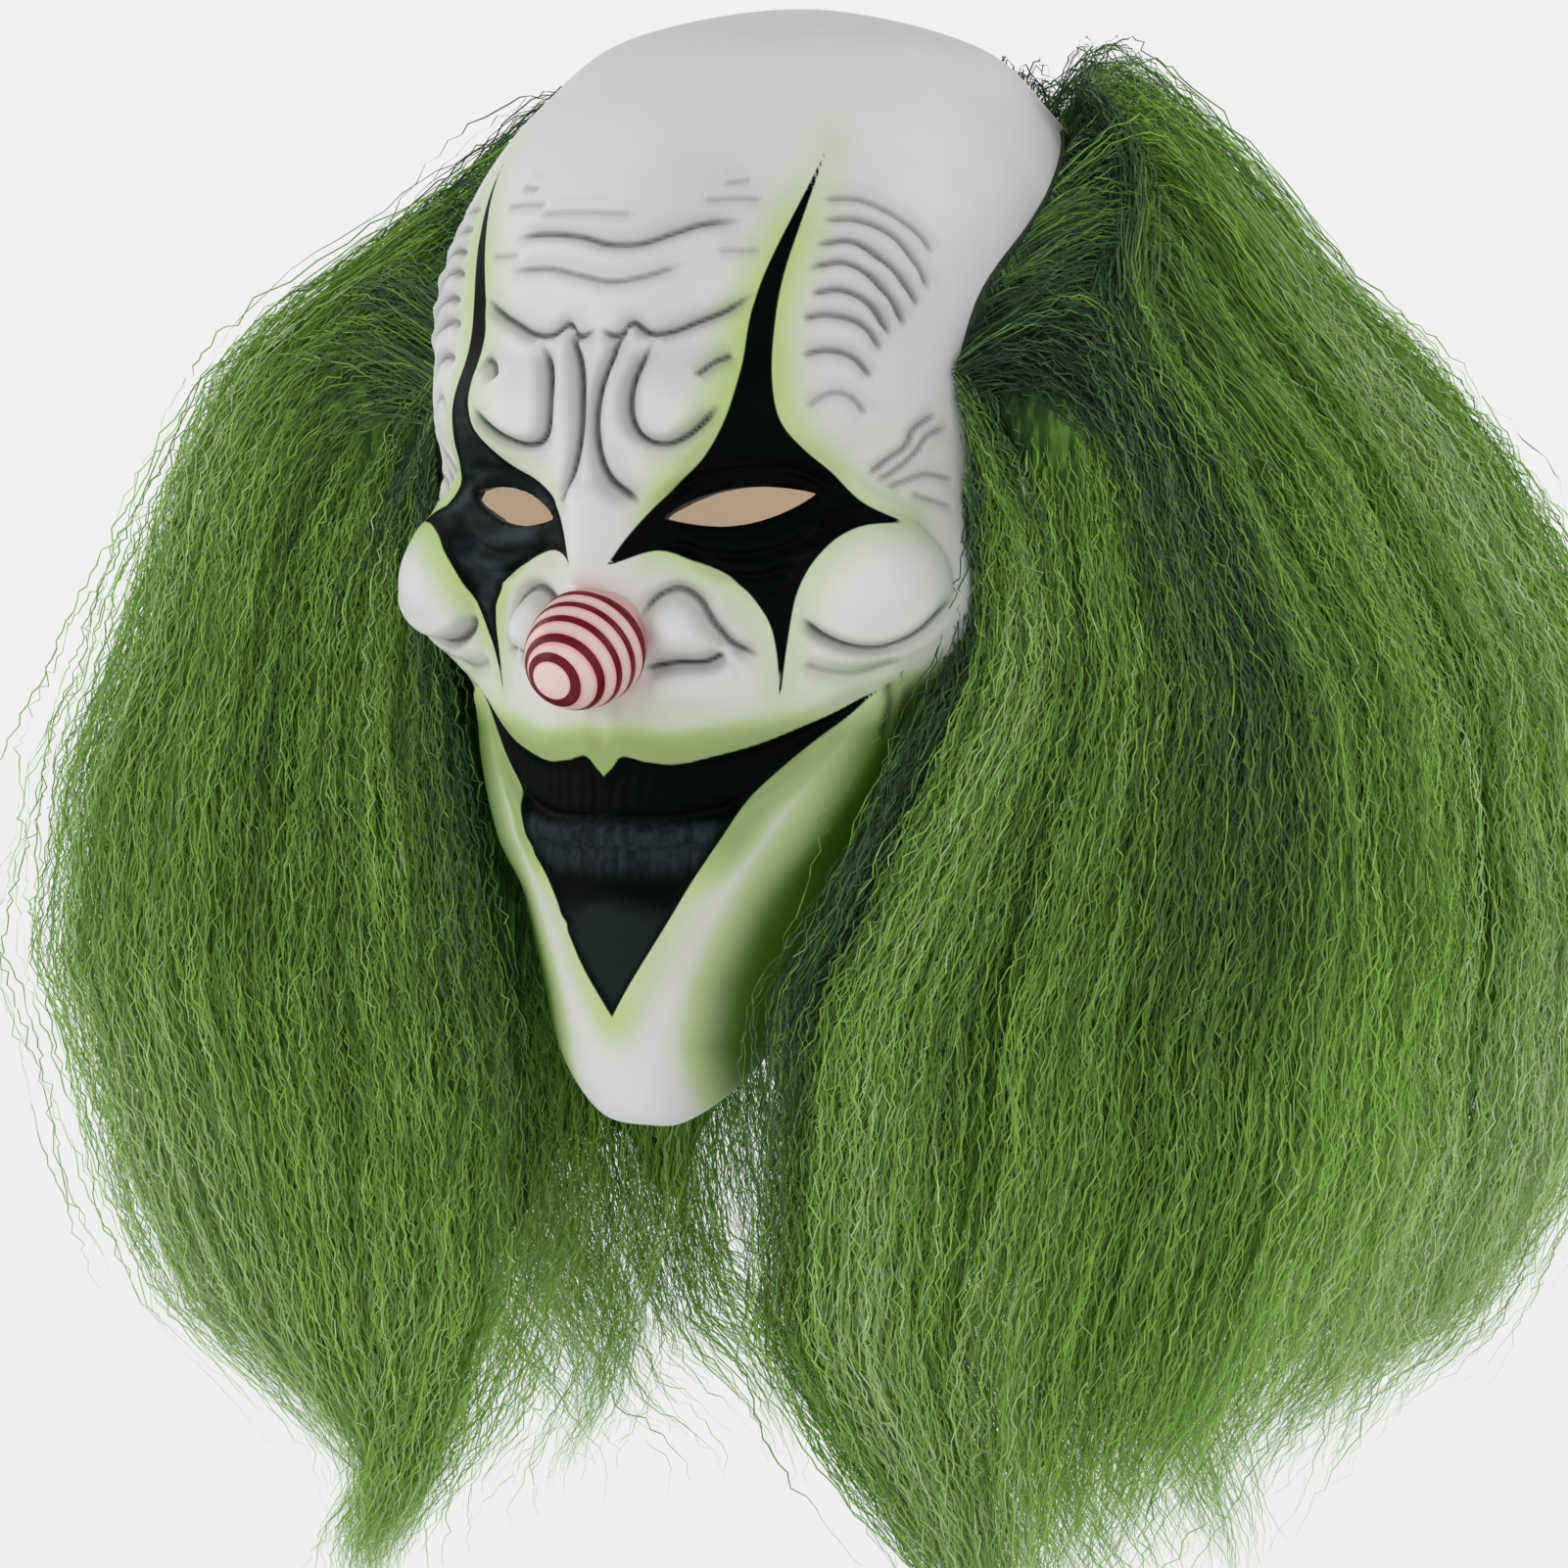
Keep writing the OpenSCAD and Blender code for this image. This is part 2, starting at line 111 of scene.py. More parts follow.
# Creases: points, depth, half width, and how dark the painted shade in them is.
ACROSS = [
    ([(-18, 62), (-12, 63), (-5, 62), (0, 60), (5, 60), (9, 62), (14, 64.5), (20, 65)], 1.3, 1.1, 0.75),
    ([(-18, 54), (-10, 54.5), (-5, 53), (1, 51), (6, 52), (12, 55)], 0.9, 1.0, 0.5),
    ([(-14, 68), (-6, 68), (4, 67)], 0.6, 1.0, 0.25),
]
CREASES = [
    ([(13, 70), (18, 70.5), (22, 70)], 0.6, 1.0, 0.25),
    ([(16, 58), (22, 58)], 0.5, 1.0, 0.25),
    ([(16, 74), (20, 75)], 0.5, 1.0, 0.25),
    # brow fold, frown line and the U round the brow pad
    ([(0, 40), (2.2, 38), (3.6, 38.6), (5, 41), (7.5, 38.4), (10.5, 38.6), (14, 41), (18, 44), (22, 48.5)],
     1.7, 1.2, 0.9),
    ([(4.4, 40), (2.8, 34), (1.6, 27), (1.1, 19), (1.4, 12), (2.4, 6), (4.2, 1.5), (6.5, -2)],
     2.2, 1.2, 0.95),
    ([(8.6, 37), (6.9, 31), (6, 25), (6.1, 18), (7.6, 13.6), (10.4, 12.4), (13.4, 14.4), (16, 18), (18, 22)],
     2.2, 1.2, 0.95),
    ([(14.5, 27.5), (16.5, 31), (19, 33)], 1.6, 1.3, 0.8),
    # nose wing, above and below
    ([(6, -28), (8, -23.5), (11, -21.5), (14, -24), (16, -30), (18, -35), (22, -38)], 2.4, 1.5, 0.85),
    ([(5, -41), (10, -39.4), (14, -39.2), (17, -36.6)], 3.2, 2.0, 1.0),
    # under the cheek ball
    ([(27.5, -28), (30, -32), (34, -34.6), (38, -34.6), (41.5, -31.5), (44, -27), (46.5, -22)],
     2.6, 1.4, 0.85),
    ([(27.5, -39.5), (31, -41.4), (36, -41.6), (41.5, -37.5)], 1.5, 1.6, 0.35),
    # outside the corner of the mouth
    ([(40.5, -44), (41, -50), (39.5, -58)], 1.4, 1.3, 0.5),
    # temple arcs
    ([(30, 70), (35, 70.4), (40, 67.5), (45, 62), (47, 57)], 1.1, 0.95, 0.45),
    ([(30, 65), (35, 65.4), (40, 62), (44, 55), (46, 48)], 1.5, 0.85, 0.5),
    ([(29, 59), (34, 60), (38, 56.6), (42, 50), (44, 44)], 1.7, 0.85, 0.6),
    ([(28, 53.4), (33, 55), (37, 51.5), (40, 45.5), (42, 39.5)], 1.7, 0.85, 0.6),
    ([(28.5, 47.5), (33, 48.4), (37, 44.5), (39.5, 37)], 1.7, 0.85, 0.6),
    ([(27.5, 41.5), (31, 42.6), (35.5, 40.4), (38.5, 33.5)], 1.6, 0.85, 0.55),
    ([(27.5, 33), (31, 34.2), (34.5, 32.5), (37, 27.5)], 1.4, 0.95, 0.6),
    ([(28, 20.5), (31, 24), (34, 23.4), (36.5, 18.5)], 1.0, 1.2, 0.4),
    # crow's feet
    ([(37, 4), (40, 8), (42.5, 11.5), (43.5, 16), (47, 20)], 1.1, 0.9, 0.6),
    ([(38, 2.6), (41.5, 6), (44, 10), (45.5, 14), (49, 17)], 1.0, 0.9, 0.5),
    ([(39.5, 1.4), (43, 3.6), (46, 5), (50, 3.6)], 0.9, 0.9, 0.45),
    ([(43, 0.5), (49, -2.5)], 0.8, 0.9, 0.35),
    # folds of the lower eyelid, inside the black
    ([(8, -10.5), (14, -13.5), (20, -14.5), (26, -12), (31, -7)], 1.8, 1.2, 0),
    ([(12, -13.6), (17, -18), (22, -19), (27, -16)], 1.6, 1.2, 0),
    ([(19, -21), (23, -24), (26, -21)], 0.8, 1.1, 0),
    # the upper lid's fold
    ([(7.5, -3), (13, 3.2), (20, 6.4), (27, 5.4), (33, 0)], 1.8, 1.2, 0),
    # line between the lips, and the lower lip's underside
    ([(-2, -76.5), (8, -77), (17, -74), (24, -67), (31, -58)], 1.7, 1.4, 0),
    ([(-2, -85), (8, -85), (14.5, -82)], 1.6, 1.6, 0),
    # edge of the chin tuft
    ([(-1, -97.5), (4, -98.5), (9, -104)], 0.7, 1.2, 0),
]
# Ridges and pads: centre, reach and height.
PADS = [
    ((11.2, 26), (6.5, 11), 2.2),
    ((37, 60), (10, 2.6), 1.0),
    ((37.5, 53), (10, 2.6), 1.2),
    ((37.5, 46), (10, 2.6), 1.2),
    ((36, 38), (10, 2.8), 1.1),
    ((3.6, 20), (2.4, 16), 1.2),
    ((20, 8), (9, 5), 1.6),
    ((10.8, -29.8), (8.5, 7.6), 7.6),
    ((0, -57), (3, 6), -1.2),
    ((2.6, -57), (1.8, 7), 1.0),
    ((8, -81), (16, 3.6), 2.0),
    ((10, -70), (14, 4), 1.4),
    ((0, -108), (9, 9), 1.4),
]
CHEEK = ((36.5, -19), 16.5, 5.5)  # centre, radius and height of the ball
# Rolls of latex: points, height and half width.
ROLLS = [
    ([(40, -45), (40.5, -50), (38.5, -58), (35, -68), (30.5, -78), (26, -88), (21, -99)], 2.6, 4.0),
    ([(0, 6), (0, -4), (0, -14), (0, -26)], 3.6, 4.2),
    ([(3, -58.5), (9, -60), (16, -57.5), (24, -52.5), (32, -47), (38, -42)], 1.6, 3.0),
]
# Where the olive under the jaw begins, in degrees from the middle of the face, over height.
JAW_EDGE = [(-150, 12), (-132, 10), (-116, 12), (-102, 16), (-87, 21), (-73, 27), (-56, 33), (-45, 41),
            (-20, 60)]
# In mm: how deep the mouth is sunk, and the height of the roll round the eye's black and of the lips' ribs.
MOUTH_SINK, EYE_ROLL, LIP_RIBS = 1.7, 1.3, 0.14
# How far to its sides each of these is felt, in mm: a crease, a roll and the outline of a black patch.
CREASE_REACH, ROLL_REACH, PAINT_REACH = 8, 16, 30


def spline(a, b, c, d, t):
    """Catmull-Rom curve between b and c."""
    return 0.5 * (2 * b + (c - a) * t + (2 * a - 5 * b + 4 * c - d) * t * t + (3 * b - a - 3 * c + d) * t**3)


def curve(points, steps=6):
    """A smooth line through the points, as rows of coordinates."""
    p = np.array(points, float)
    p = np.concatenate([[2 * p[0] - p[1]], p, [2 * p[-1] - p[-2]]])
    t = np.linspace(0, 1, steps, endpoint=False)[:, None]
    parts = [spline(*p[i : i + 4], t) for i in range(len(p) - 3)]
    return np.concatenate(parts + [p[-2:-1]])


def smooth(low, high, x):
    """0 below low, 1 above high, smooth between."""
    t = np.clip((x - low) / (high - low), 0, 1)
    return t * t * (3 - 2 * t)


def at_height(table, z):
    """The value at z in a table of (height, value) pairs."""
    return np.interp(z, *np.array(table, float).T)


def head_point(u, v):
    """Point on the plain head: u is 0 to 8 round a ring from the front, v counts the guides downward."""
    guides = np.array(GUIDES, float)
    guides = np.concatenate([[guides[1][::-1] * (-1, 1, 1)], guides, guides[-1:]])
    k = np.clip(np.floor(v).astype(int), 0, LAST - 1)
    ring = spline(guides[k], guides[k + 1], guides[k + 2], guides[k + 3], (v - k)[..., None, None])
    ring = np.concatenate([ring, ring[..., [3, 2, 1], :] * (-1, 1, 1)], axis=-2)
    j = np.floor(u).astype(int)

    def pick(i):
        return np.take_along_axis(ring, (i % 8)[..., None, None].repeat(3, -1), axis=-2)[..., 0, :]

    return spline(pick(j + 7), pick(j), pick(j + 1), pick(j + 2), (u - j)[..., None])


def head_normal(u, v):
    """Unit outward normal of the plain head."""
    step = 0.02
    down = head_point(u, v + step) - head_point(u, np.maximum(v - step, 0.001))
    along = head_point((u + step) % 8, v) - head_point((u - step) % 8, v)
    n = np.cross(down, along)
    return n / np.maximum(np.linalg.norm(n, axis=-1, keepdims=True), 1e-9)


def swelling(p):
    """Height of the broad forms at points p of the plain head."""
    height = np.zeros(p.shape[:-1])
    for centre, reach, amount in SWELLS:
        for side in (1, -1) if centre[0] else (1,):
            height += amount * np.exp(-((((p * (side, 1, 1)) - centre) / reach) ** 2).sum(-1))
    return height


def on_map(p):
    """Face-map coordinates in mm, with the degrees signed."""
    return np.degrees(np.arctan2(p[..., 0], MAP_Y - p[..., 1])) * DEGREE, p[..., 2]


def to_line(points, x, z, reach):
    """Distance from each place to a line, no more than reach, and the share of the line passed there."""
    line = curve(points) * (DEGREE, 1)
    distance = np.full(x.shape, float(reach))
    share = np.zeros(x.shape)
    low, high = line.min(0) - reach, line.max(0) + reach
    near = (x > low[0]) & (x < high[0]) & (z > low[1]) & (z < high[1])
    px, pz, best, passed = x[near], z[near], distance[near], share[near]
    for i, (a, b) in enumerate(zip(line, line[1:])):
        d = b - a
        t = np.clip(((px - a[0]) * d[0] + (pz - a[1]) * d[1]) / (d @ d + 1e-9), 0, 1)
        r = np.hypot(px - a[0] - t * d[0], pz - a[1] - t * d[1])
        closer = r < best
        best[closer] = r[closer]
        passed[closer] = (i + t[closer]) / (len(line) - 1)
    distance[near] = best
    share[near] = passed
    return distance, share


def inside_by(edges, x, z, reach):
    """Signed distance to the outline made of these edges: positive inside."""
    distance = np.min([to_line(edge, x, z, reach)[0] for edge in edges], axis=0)
    line = np.concatenate([curve(edge)[:-1] for edge in edges]) * (DEGREE, 1)
    inside = np.zeros(x.shape, bool)
    for a, b in zip(line, np.roll(line, -1, axis=0)):
        crosses = (a[1] > z) != (b[1] > z)
        level = a[0] + (z - a[1]) * (b[0] - a[0]) / (b[1] - a[1] + 1e-12)
        inside ^= crosses & (x < level)
    return np.where(inside, distance, -distance)


def mirrored(edges):
    """The edges of a half outline, then those of its other half."""
    return edges + [[(-a, z) for a, z in edge[::-1]] for edge in edges[::-1]]


def groove(distance, share, depth, width):
    """A crease with a slight roll on both sides, fading out at its ends."""
    fade = smooth(0, 0.15, share) * smooth(0, 0.15, 1 - share)
    roll = 0.35 * np.exp(-(((distance - 2.2 * width) / (1.5 * width)) ** 2))
    return depth * fade * (roll - np.exp(-((distance / width) ** 2)))


def relief(p):
    """Height of the small forms over the plain head at points p, and the paint, painted crease shade and
    painted highlights there.
    """
    x, z = on_map(p)
    half = np.abs(x)
    height = np.zeros(x.shape)
    crease = np.full(x.shape, float(CREASE_REACH))
    crease_shadow = np.zeros(x.shape)
    for lines, across in ((ACROSS, x), (CREASES, half)):
        for points, depth, width, paint in lines:
            distance, share = to_line(points, across, z, CREASE_REACH)
            height += groove(distance, share, depth, width)
            fade = smooth(0, 0.12, share) * smooth(0, 0.12, 1 - share)
            # painted shade: a place takes the darkness of the nearest crease that is given any
            nearer = (distance < crease) & (paint > 0)
            crease = np.where(nearer, distance, crease)
            crease_shadow = np.where(nearer, paint * fade, crease_shadow)
    for (a, level), (reach_x, reach_z), amount in PADS:
        height += amount * np.exp(-(((half - a * DEGREE) / reach_x) ** 2) - ((z - level) / reach_z) ** 2)
    for points, amount, width in ROLLS:
        distance, share = to_line(points, half, z, ROLL_REACH)
        fade = smooth(0, 0.2, share) * smooth(0, 0.25, 1 - share)
        height += amount * fade * np.exp(-((distance / width) ** 2))
    (a, level), radius, amount = CHEEK
    ball = np.clip(1 - ((half - a * DEGREE) ** 2 + (z - level) ** 2) / radius**2, 0, 1)
    height += amount * ball**0.7
    patch = inside_by(EYE_PATCH, half, z, PAINT_REACH)
    mouth = inside_by(mirrored(MOUTH), x, z, PAINT_REACH)
    height -= MOUTH_SINK * smooth(-0.6, 2.4, mouth)
    height += EYE_ROLL * np.exp(-(((patch + 2.2) / 2.4) ** 2)) * smooth(-14, 0, z) * smooth(26, 10, z)
    lips = smooth(-92, -88, z) * smooth(0, 3, mouth)
    height += LIP_RIBS * lips * np.sin(half * 1.9 + 0.8 * np.sin(z * 0.5)) * smooth(60, 20, half)
    # the mouth's halo is wider above its upper lip, so its distances count for less there
    round_mouth = np.where(mouth < 0, mouth * (1 - 0.45 * smooth(-78, -62, z)), mouth)
    beside_mouth = 0.42 * smooth(-11, -3, mouth) * smooth(-46, -58, z) * smooth(-104, -80, z)
    paint = {
        # mm inside the black, mm to the nearest crease, and the share of each other paint, of the painted
        # crease shade and of the painted highlights
        "black": np.maximum(patch, round_mouth),
        "crease": crease,
        "crease_shadow": crease_shadow,
        "tuft": smooth(-97, -103, z + 0.12 * half**1.2 - 3) * smooth(0, 2, mouth),
        # painted highlight along the lower lip, inside the black mouth
        "lip": smooth(-76, -80, z) * smooth(-93, -86, z) * smooth(0, 3, mouth),
        "glow": 1 - smooth(8, 3, half / DEGREE) * smooth(-30, -20, z) - 0.6 * smooth(62, 84, z),
        # painted highlight on the black patch round the eye at negative x, below the brow
        "sheen": smooth(1, 3, patch) * smooth(34, 22, z) * smooth(-4, -12, x),
        "olive": np.maximum(jaw_shade(half / DEGREE, z), beside_mouth),
    }
    return height, paint


def jaw_shade(degrees, z):
    """Share of dark olive sprayed along the underside and the rear of the jaw."""
    return smooth(-5, 11, degrees - at_height(JAW_EDGE, z)) * smooth(-22, -48, z)


def eye_outline(t, side):
    """Edge of an eye hole in x and z, over its length t from the inner corner: side 1 above and -1 below."""
    bulge = np.sin(np.pi * np.clip(t, 0, 1) ** (0.8 if side > 0 else 1.1)) ** 0.8
    return EYE_GAP / 2 + EYE_LENGTH * t, EYE_Z + EYE_SLANT * (t - 0.5) + side * EYE_HEIGHT / 2 * bulge


def in_eye(p):
    """Whether each point lies in an eye hole, seen from the front."""
    t = (np.abs(p[..., 0]) - EYE_GAP / 2) / EYE_LENGTH
    low, high = eye_outline(t, -1)[1], eye_outline(t, 1)[1]
    return (t > 0) & (t < 1) & (p[..., 2] > low) & (p[..., 2] < high) & (p[..., 1] < 0)


def to_eye_edge(p):
    """p moved in x and z to the nearest place on the outline of its eye hole."""
    t = np.linspace(0, 1, 121)
    edge = np.concatenate([np.stack(eye_outline(t, side), -1) for side in (1, -1)])
    flat = np.stack([np.abs(p[:, 0]), p[:, 2]], -1)
    nearest = edge[((flat[:, None] - edge) ** 2).sum(-1).argmin(1)]
    return np.stack([np.sign(p[:, 0]) * nearest[:, 0], p[:, 1], nearest[:, 1]], -1)


def outer_loops(quads):
    """Loops of vertices along the open edges of a set of faces, in the faces' own direction."""
    edges = np.concatenate([np.stack([quads[:, k], quads[:, (k + 1) % 4]], -1) for k in range(4)])
    there = {(a, b) for a, b in edges.tolist()}
    follow = {a: b for a, b in there if (b, a) not in there}
    loops = []
    while follow:
        start, _ = next(iter(follow.items()))
        loop = [start]
        while loop[-1] in follow:
            step = follow.pop(loop[-1])
            if step == start:
                break
            loop.append(step)
        loops.append(loop)
    return loops


def zipper(a, b, points):
    """Triangles between two loops that run the same way, each started at its point with the largest x."""

    def laid_out(loop):
        first = int(np.argmax(points[loop][:, 0]))
        loop = loop[first:] + loop[:first]
        p = points[loop]
        step = np.linalg.norm(np.roll(p, -1, axis=0) - p, axis=1)
        return loop + loop[:1], np.concatenate([[0], np.cumsum(step)]) / step.sum()

    (a, share_a), (b, share_b) = laid_out(a), laid_out(b)
    faces = []
    i = j = 0
    while i < len(a) - 1 or j < len(b) - 1:
        if j == len(b) - 1 or (i < len(a) - 1 and share_a[i + 1] <= share_b[j + 1]):
            faces.append((a[i + 1], a[i], b[j]))
            i += 1
        else:
            faces.append((a[i], b[j], b[j + 1]))
            j += 1
    return faces


def new_piece(name, points, faces, materials, attributes=None, slots=None):
    """A mesh object from points in mm and faces, with smooth shading."""
    mesh = bpy.data.meshes.new(name)
    if isinstance(faces, np.ndarray):
        lengths = np.full(len(faces), faces.shape[1], np.int32)
        corners = faces.ravel()
    else:
        lengths = np.array([len(f) for f in faces], np.int32)
        corners = np.array([corner for face in faces for corner in face])
    mesh.vertices.add(len(points))
    mesh.vertices.foreach_set("co", (np.asarray(points, float) * MM).astype(np.float32).ravel())
    mesh.loops.add(int(lengths.sum()))
    mesh.loops.foreach_set("vertex_index", corners.astype(np.int32))
    mesh.polygons.add(len(faces))
    mesh.polygons.foreach_set("loop_start", np.concatenate([[0], np.cumsum(lengths)[:-1]]).astype(np.int32))
    mesh.polygons.foreach_set("use_smooth", np.ones(len(faces), bool))
    for material in materials:
        mesh.materials.append(material)
    if slots is not None:
        mesh.polygons.foreach_set("material_index", np.asarray(slots, np.int32))
    for key, values in (attributes or {}).items():
        data = mesh.attributes.new(key, "FLOAT", "POINT").data
        data.foreach_set("value", np.asarray(values, np.float32).ravel())
    mesh.update()
    mesh.validate()
    piece = bpy.data.objects.new(name, mesh)
    bpy.context.collection.objects.link(piece)
    return piece


# ---------------------------------------------------------------- materials
def srgb(*values):
    """A colour given as it is seen on a screen, 0 to 255."""
    linear = [(v / 255 / 12.92) if v < 10 else ((v / 255 + 0.055) / 1.055) ** 2.4 for v in values]
    return (*linear, 1)


WHITE = srgb(224, 224, 223)
SHADE = srgb(178, 180, 178)
LIME = srgb(188, 207, 136)
OLIVE = srgb(74, 108, 30)
# grey of the painted shade in the creases
SHADOW_GREY = srgb(66, 72, 68)
BLACK = srgb(2, 5, 5)
GREY = srgb(40, 50, 50)
# grey of the painted highlights on the black
SHEEN_GREY = srgb(52, 62, 64)


def plain_material(name, colour, roughness=0.5, specular=0.5):
    """A material of one colour, and its shader."""
    material = bpy.data.materials.new(name)
    material.use_nodes = True
    shader = material.node_tree.nodes["Principled BSDF"]
    shader.inputs["Base Color"].default_value = colour
    shader.inputs["Roughness"].default_value = roughness
    shader.inputs["Specular IOR Level"].default_value = specular
    return material, shader


class Paint:
    """Builds up a node colour in layers."""

    def __init__(self, material):
        self.tree = material.node_tree
        self.colour = None

    def node(self, kind, **inputs):
        node = self.tree.nodes.new(kind)
        for key, value in inputs.items():
            self.put(node.inputs[key], value)
        return node

    def put(self, socket, value):
        if isinstance(value, bpy.types.NodeSocket):
            self.tree.links.new(value, socket)
        else:
            socket.default_value = value

    def attribute(self, name):
        node = self.node("ShaderNodeAttribute")
        node.attribute_name = name
        return node.outputs["Fac"]

    def noise(self, scale, stretch=(1, 1, 1), detail=3.0):
        place = self.node("ShaderNodeTexCoord").outputs["Object"]
        place = self.node("ShaderNodeMapping", Vector=place, Scale=stretch).outputs[0]
        return self.node("ShaderNodeTexNoise", Vector=place, Scale=scale, Detail=detail).outputs["Fac"]

    def calc(self, how, a, b=0.0):
        node = self.tree.nodes.new("ShaderNodeMath")
        node.operation = how
        self.put(node.inputs[0], a)
        self.put(node.inputs[1], b)
        return node.outputs[0]

    def ramp(self, value, low, high, bottom=0.0, top=1.0):
        """Turns low to high into bottom to top, smoothly."""
        node = self.tree.nodes.new("ShaderNodeMapRange")
        node.interpolation_type = "SMOOTHSTEP"
        inputs = {"Value": value, "From Min": low, "From Max": high, "To Min": bottom, "To Max": top}
        for key, item in inputs.items():
            self.put(node.inputs[key], item)
        return node.outputs[0]

    def product(self, a, b):
        return self.calc("MULTIPLY", a, b)

    def layer(self, colour, share):
        """Lays colour over what is there, by share."""
        if self.colour is None:
            self.colour = colour
            return
        node = self.tree.nodes.new("ShaderNodeMix")
        node.data_type = "RGBA"
        self.put(node.inputs["Factor"], share)
        self.put(node.inputs[6], self.colour)
        self.put(node.inputs[7], colour)
        self.colour = node.outputs[2]


def latex_material():
    """White latex with airbrushed lime and olive, painted shade in the creases, black patches and painted
    highlights on the black. Distances are in mm.
    """
    material, shader = plain_material("latex", WHITE, roughness=0.5, specular=0.04)
    paint = Paint(material)
    cloud = paint.noise(26)
    black, crease, crease_shadow, olive = (paint.attribute(name) for name in ("black", "crease", "crease_shadow", "olive"))
    paint.layer(WHITE, 1)
    paint.layer(SHADE, paint.ramp(paint.noise(14, detail=5), 0.42, 0.75, 0.0, 0.35))
    # lime sprayed round the black and along the jaw, then olive where the jaw turns under
    halo = paint.ramp(paint.calc("ADD", black, paint.product(cloud, 6.0)), -7.0, 3.5)
    blotch = paint.ramp(paint.noise(11, detail=2), 0.36, 0.62, 0.45, 1.0)
    paint.layer(LIME, paint.product(paint.attribute("glow"), paint.product(halo, blotch)))
    paint.layer(LIME, paint.ramp(olive, 0.0, 0.3, 0.0, 0.8))
    paint.layer(OLIVE, paint.ramp(paint.calc("ADD", olive, paint.product(cloud, 0.2)), 0.2, 1.0))
    # painted shade in the creases: a wide soft darkening under a thin dark line
    paint.layer(SHADOW_GREY, paint.product(crease_shadow, paint.ramp(crease, 4.5, 0.3, 0.0, 0.3)))
    paint.layer(SHADOW_GREY, paint.product(crease_shadow, paint.ramp(crease, 1.15, 0.1)))
    # the black patches, the greyer tuft on the chin, then painted highlights: patchy sheen on the black round
    # the eye at negative x, and streaky sheen along the lower lip
    paint.layer(BLACK, paint.ramp(black, -0.15, 0.25))
    paint.layer(GREY, paint.product(paint.attribute("tuft"), 0.55))
    sheen_patches = paint.ramp(paint.noise(45, (1, 1, 3)), 0.42, 0.68, 0.2, 1.0)
    paint.layer(SHEEN_GREY, paint.product(paint.attribute("sheen"), sheen_patches))
    lip_sheen_streaks = paint.ramp(paint.noise(520, (1, 1, 0.2)), 0.3, 0.7, 0.25, 0.75)
    paint.layer(SHEEN_GREY, paint.product(paint.attribute("lip"), lip_sheen_streaks))
    paint.put(shader.inputs["Base Color"], paint.colour)
    return material


def spiral_material():
    material, shader = plain_material("nose", srgb(238, 190, 186), roughness=0.4, specular=0.25)
    paint = Paint(material)
    paint.layer(srgb(232, 206, 202), 1)
    paint.layer(srgb(240, 168, 168), paint.ramp(paint.attribute("stripe"), -0.8, 0.2, 0.0, 0.9))
    paint.layer(srgb(104, 4, 20), paint.ramp(paint.attribute("stripe"), 0.30, 0.46))
    paint.put(shader.inputs["Base Color"], paint.colour)
    return material


def hair_core_material():
    material, shader = plain_material("hair_core", srgb(70, 104, 48), roughness=0.9, specular=0.1)
    paint = Paint(material)
    paint.layer(srgb(60, 92, 44), 1)
    paint.layer(srgb(104, 150, 66), paint.ramp(paint.noise(420, (1, 1, 0.10)), 0.42, 0.62))
    paint.put(shader.inputs["Base Color"], paint.colour)
    return material


def weft_material():
    material, shader = plain_material("weft_band", srgb(30, 44, 30), roughness=0.8)
    paint = Paint(material)
    paint.layer(srgb(24, 38, 26), 1)
    paint.layer(srgb(48, 72, 44), paint.ramp(paint.noise(900, (1, 1, 0.3)), 0.45, 0.6))
    paint.put(shader.inputs["Base Color"], paint.colour)
    return material


# ---------------------------------------------------------------- the latex head
def head_rows():
    """v of the rows: close together over the face, wide apart on the crown."""
    parts = np.linspace(0.03, 2.4, 26)[:-1], np.linspace(2.4, 14.8, 300)[:-1], np.linspace(14.8, LAST, 16)
    return np.concatenate(parts)


def head_columns():
    """u of the columns: close together over the face, wide apart at the back."""
    face = np.linspace(-1.95, 1.95, 291)[:-1]
    back = np.linspace(1.95, 6.05, 71)[:-1]
    return np.concatenate([face, back]) % 8


def lowest_near(height, reach):
    """The lowest height within reach cells along the rows and the columns."""
    low = height.copy()
    for axis in (0, 1):
        start = low.copy()
        for step in range(1, reach + 1):
            low = np.minimum(low, np.minimum(np.roll(start, step, axis), np.roll(start, -step, axis)))
    return low


CROWN, LEFT_EYE, RIGHT_EYE, NECK = range(4)
NO_BLACK = -99.0  # mm to the black paint, where there is none


def opening_of(p):
    """Which opening of the skin a loop of points runs round."""
    if p[:, 2].min() > 60:
        return CROWN
    if p[:, 2].max() > -60 and p[:, 1].max() < 0:
        return LEFT_EYE if p[:, 0].mean() > 0 else RIGHT_EYE
    return NECK


def head_skins():
    """The outer and the inner grid of the latex, and the paint over the outer one."""
    u, v = np.meshgrid(head_columns(), head_rows())
    plain, normal = head_point(u, v), head_normal(u, v)
    height, paint = relief(plain)
    broad = plain + normal * swelling(plain)[..., None]
    outer = broad + normal * height[..., None]
    every = 3  # one row or column inside for three outside
    under = broad + normal * (lowest_near(height, every + 1) - WALL)[..., None]
    inner = under[::every, ::every]
    inner[-1] = under[-1, ::every]
    return outer, inner, paint


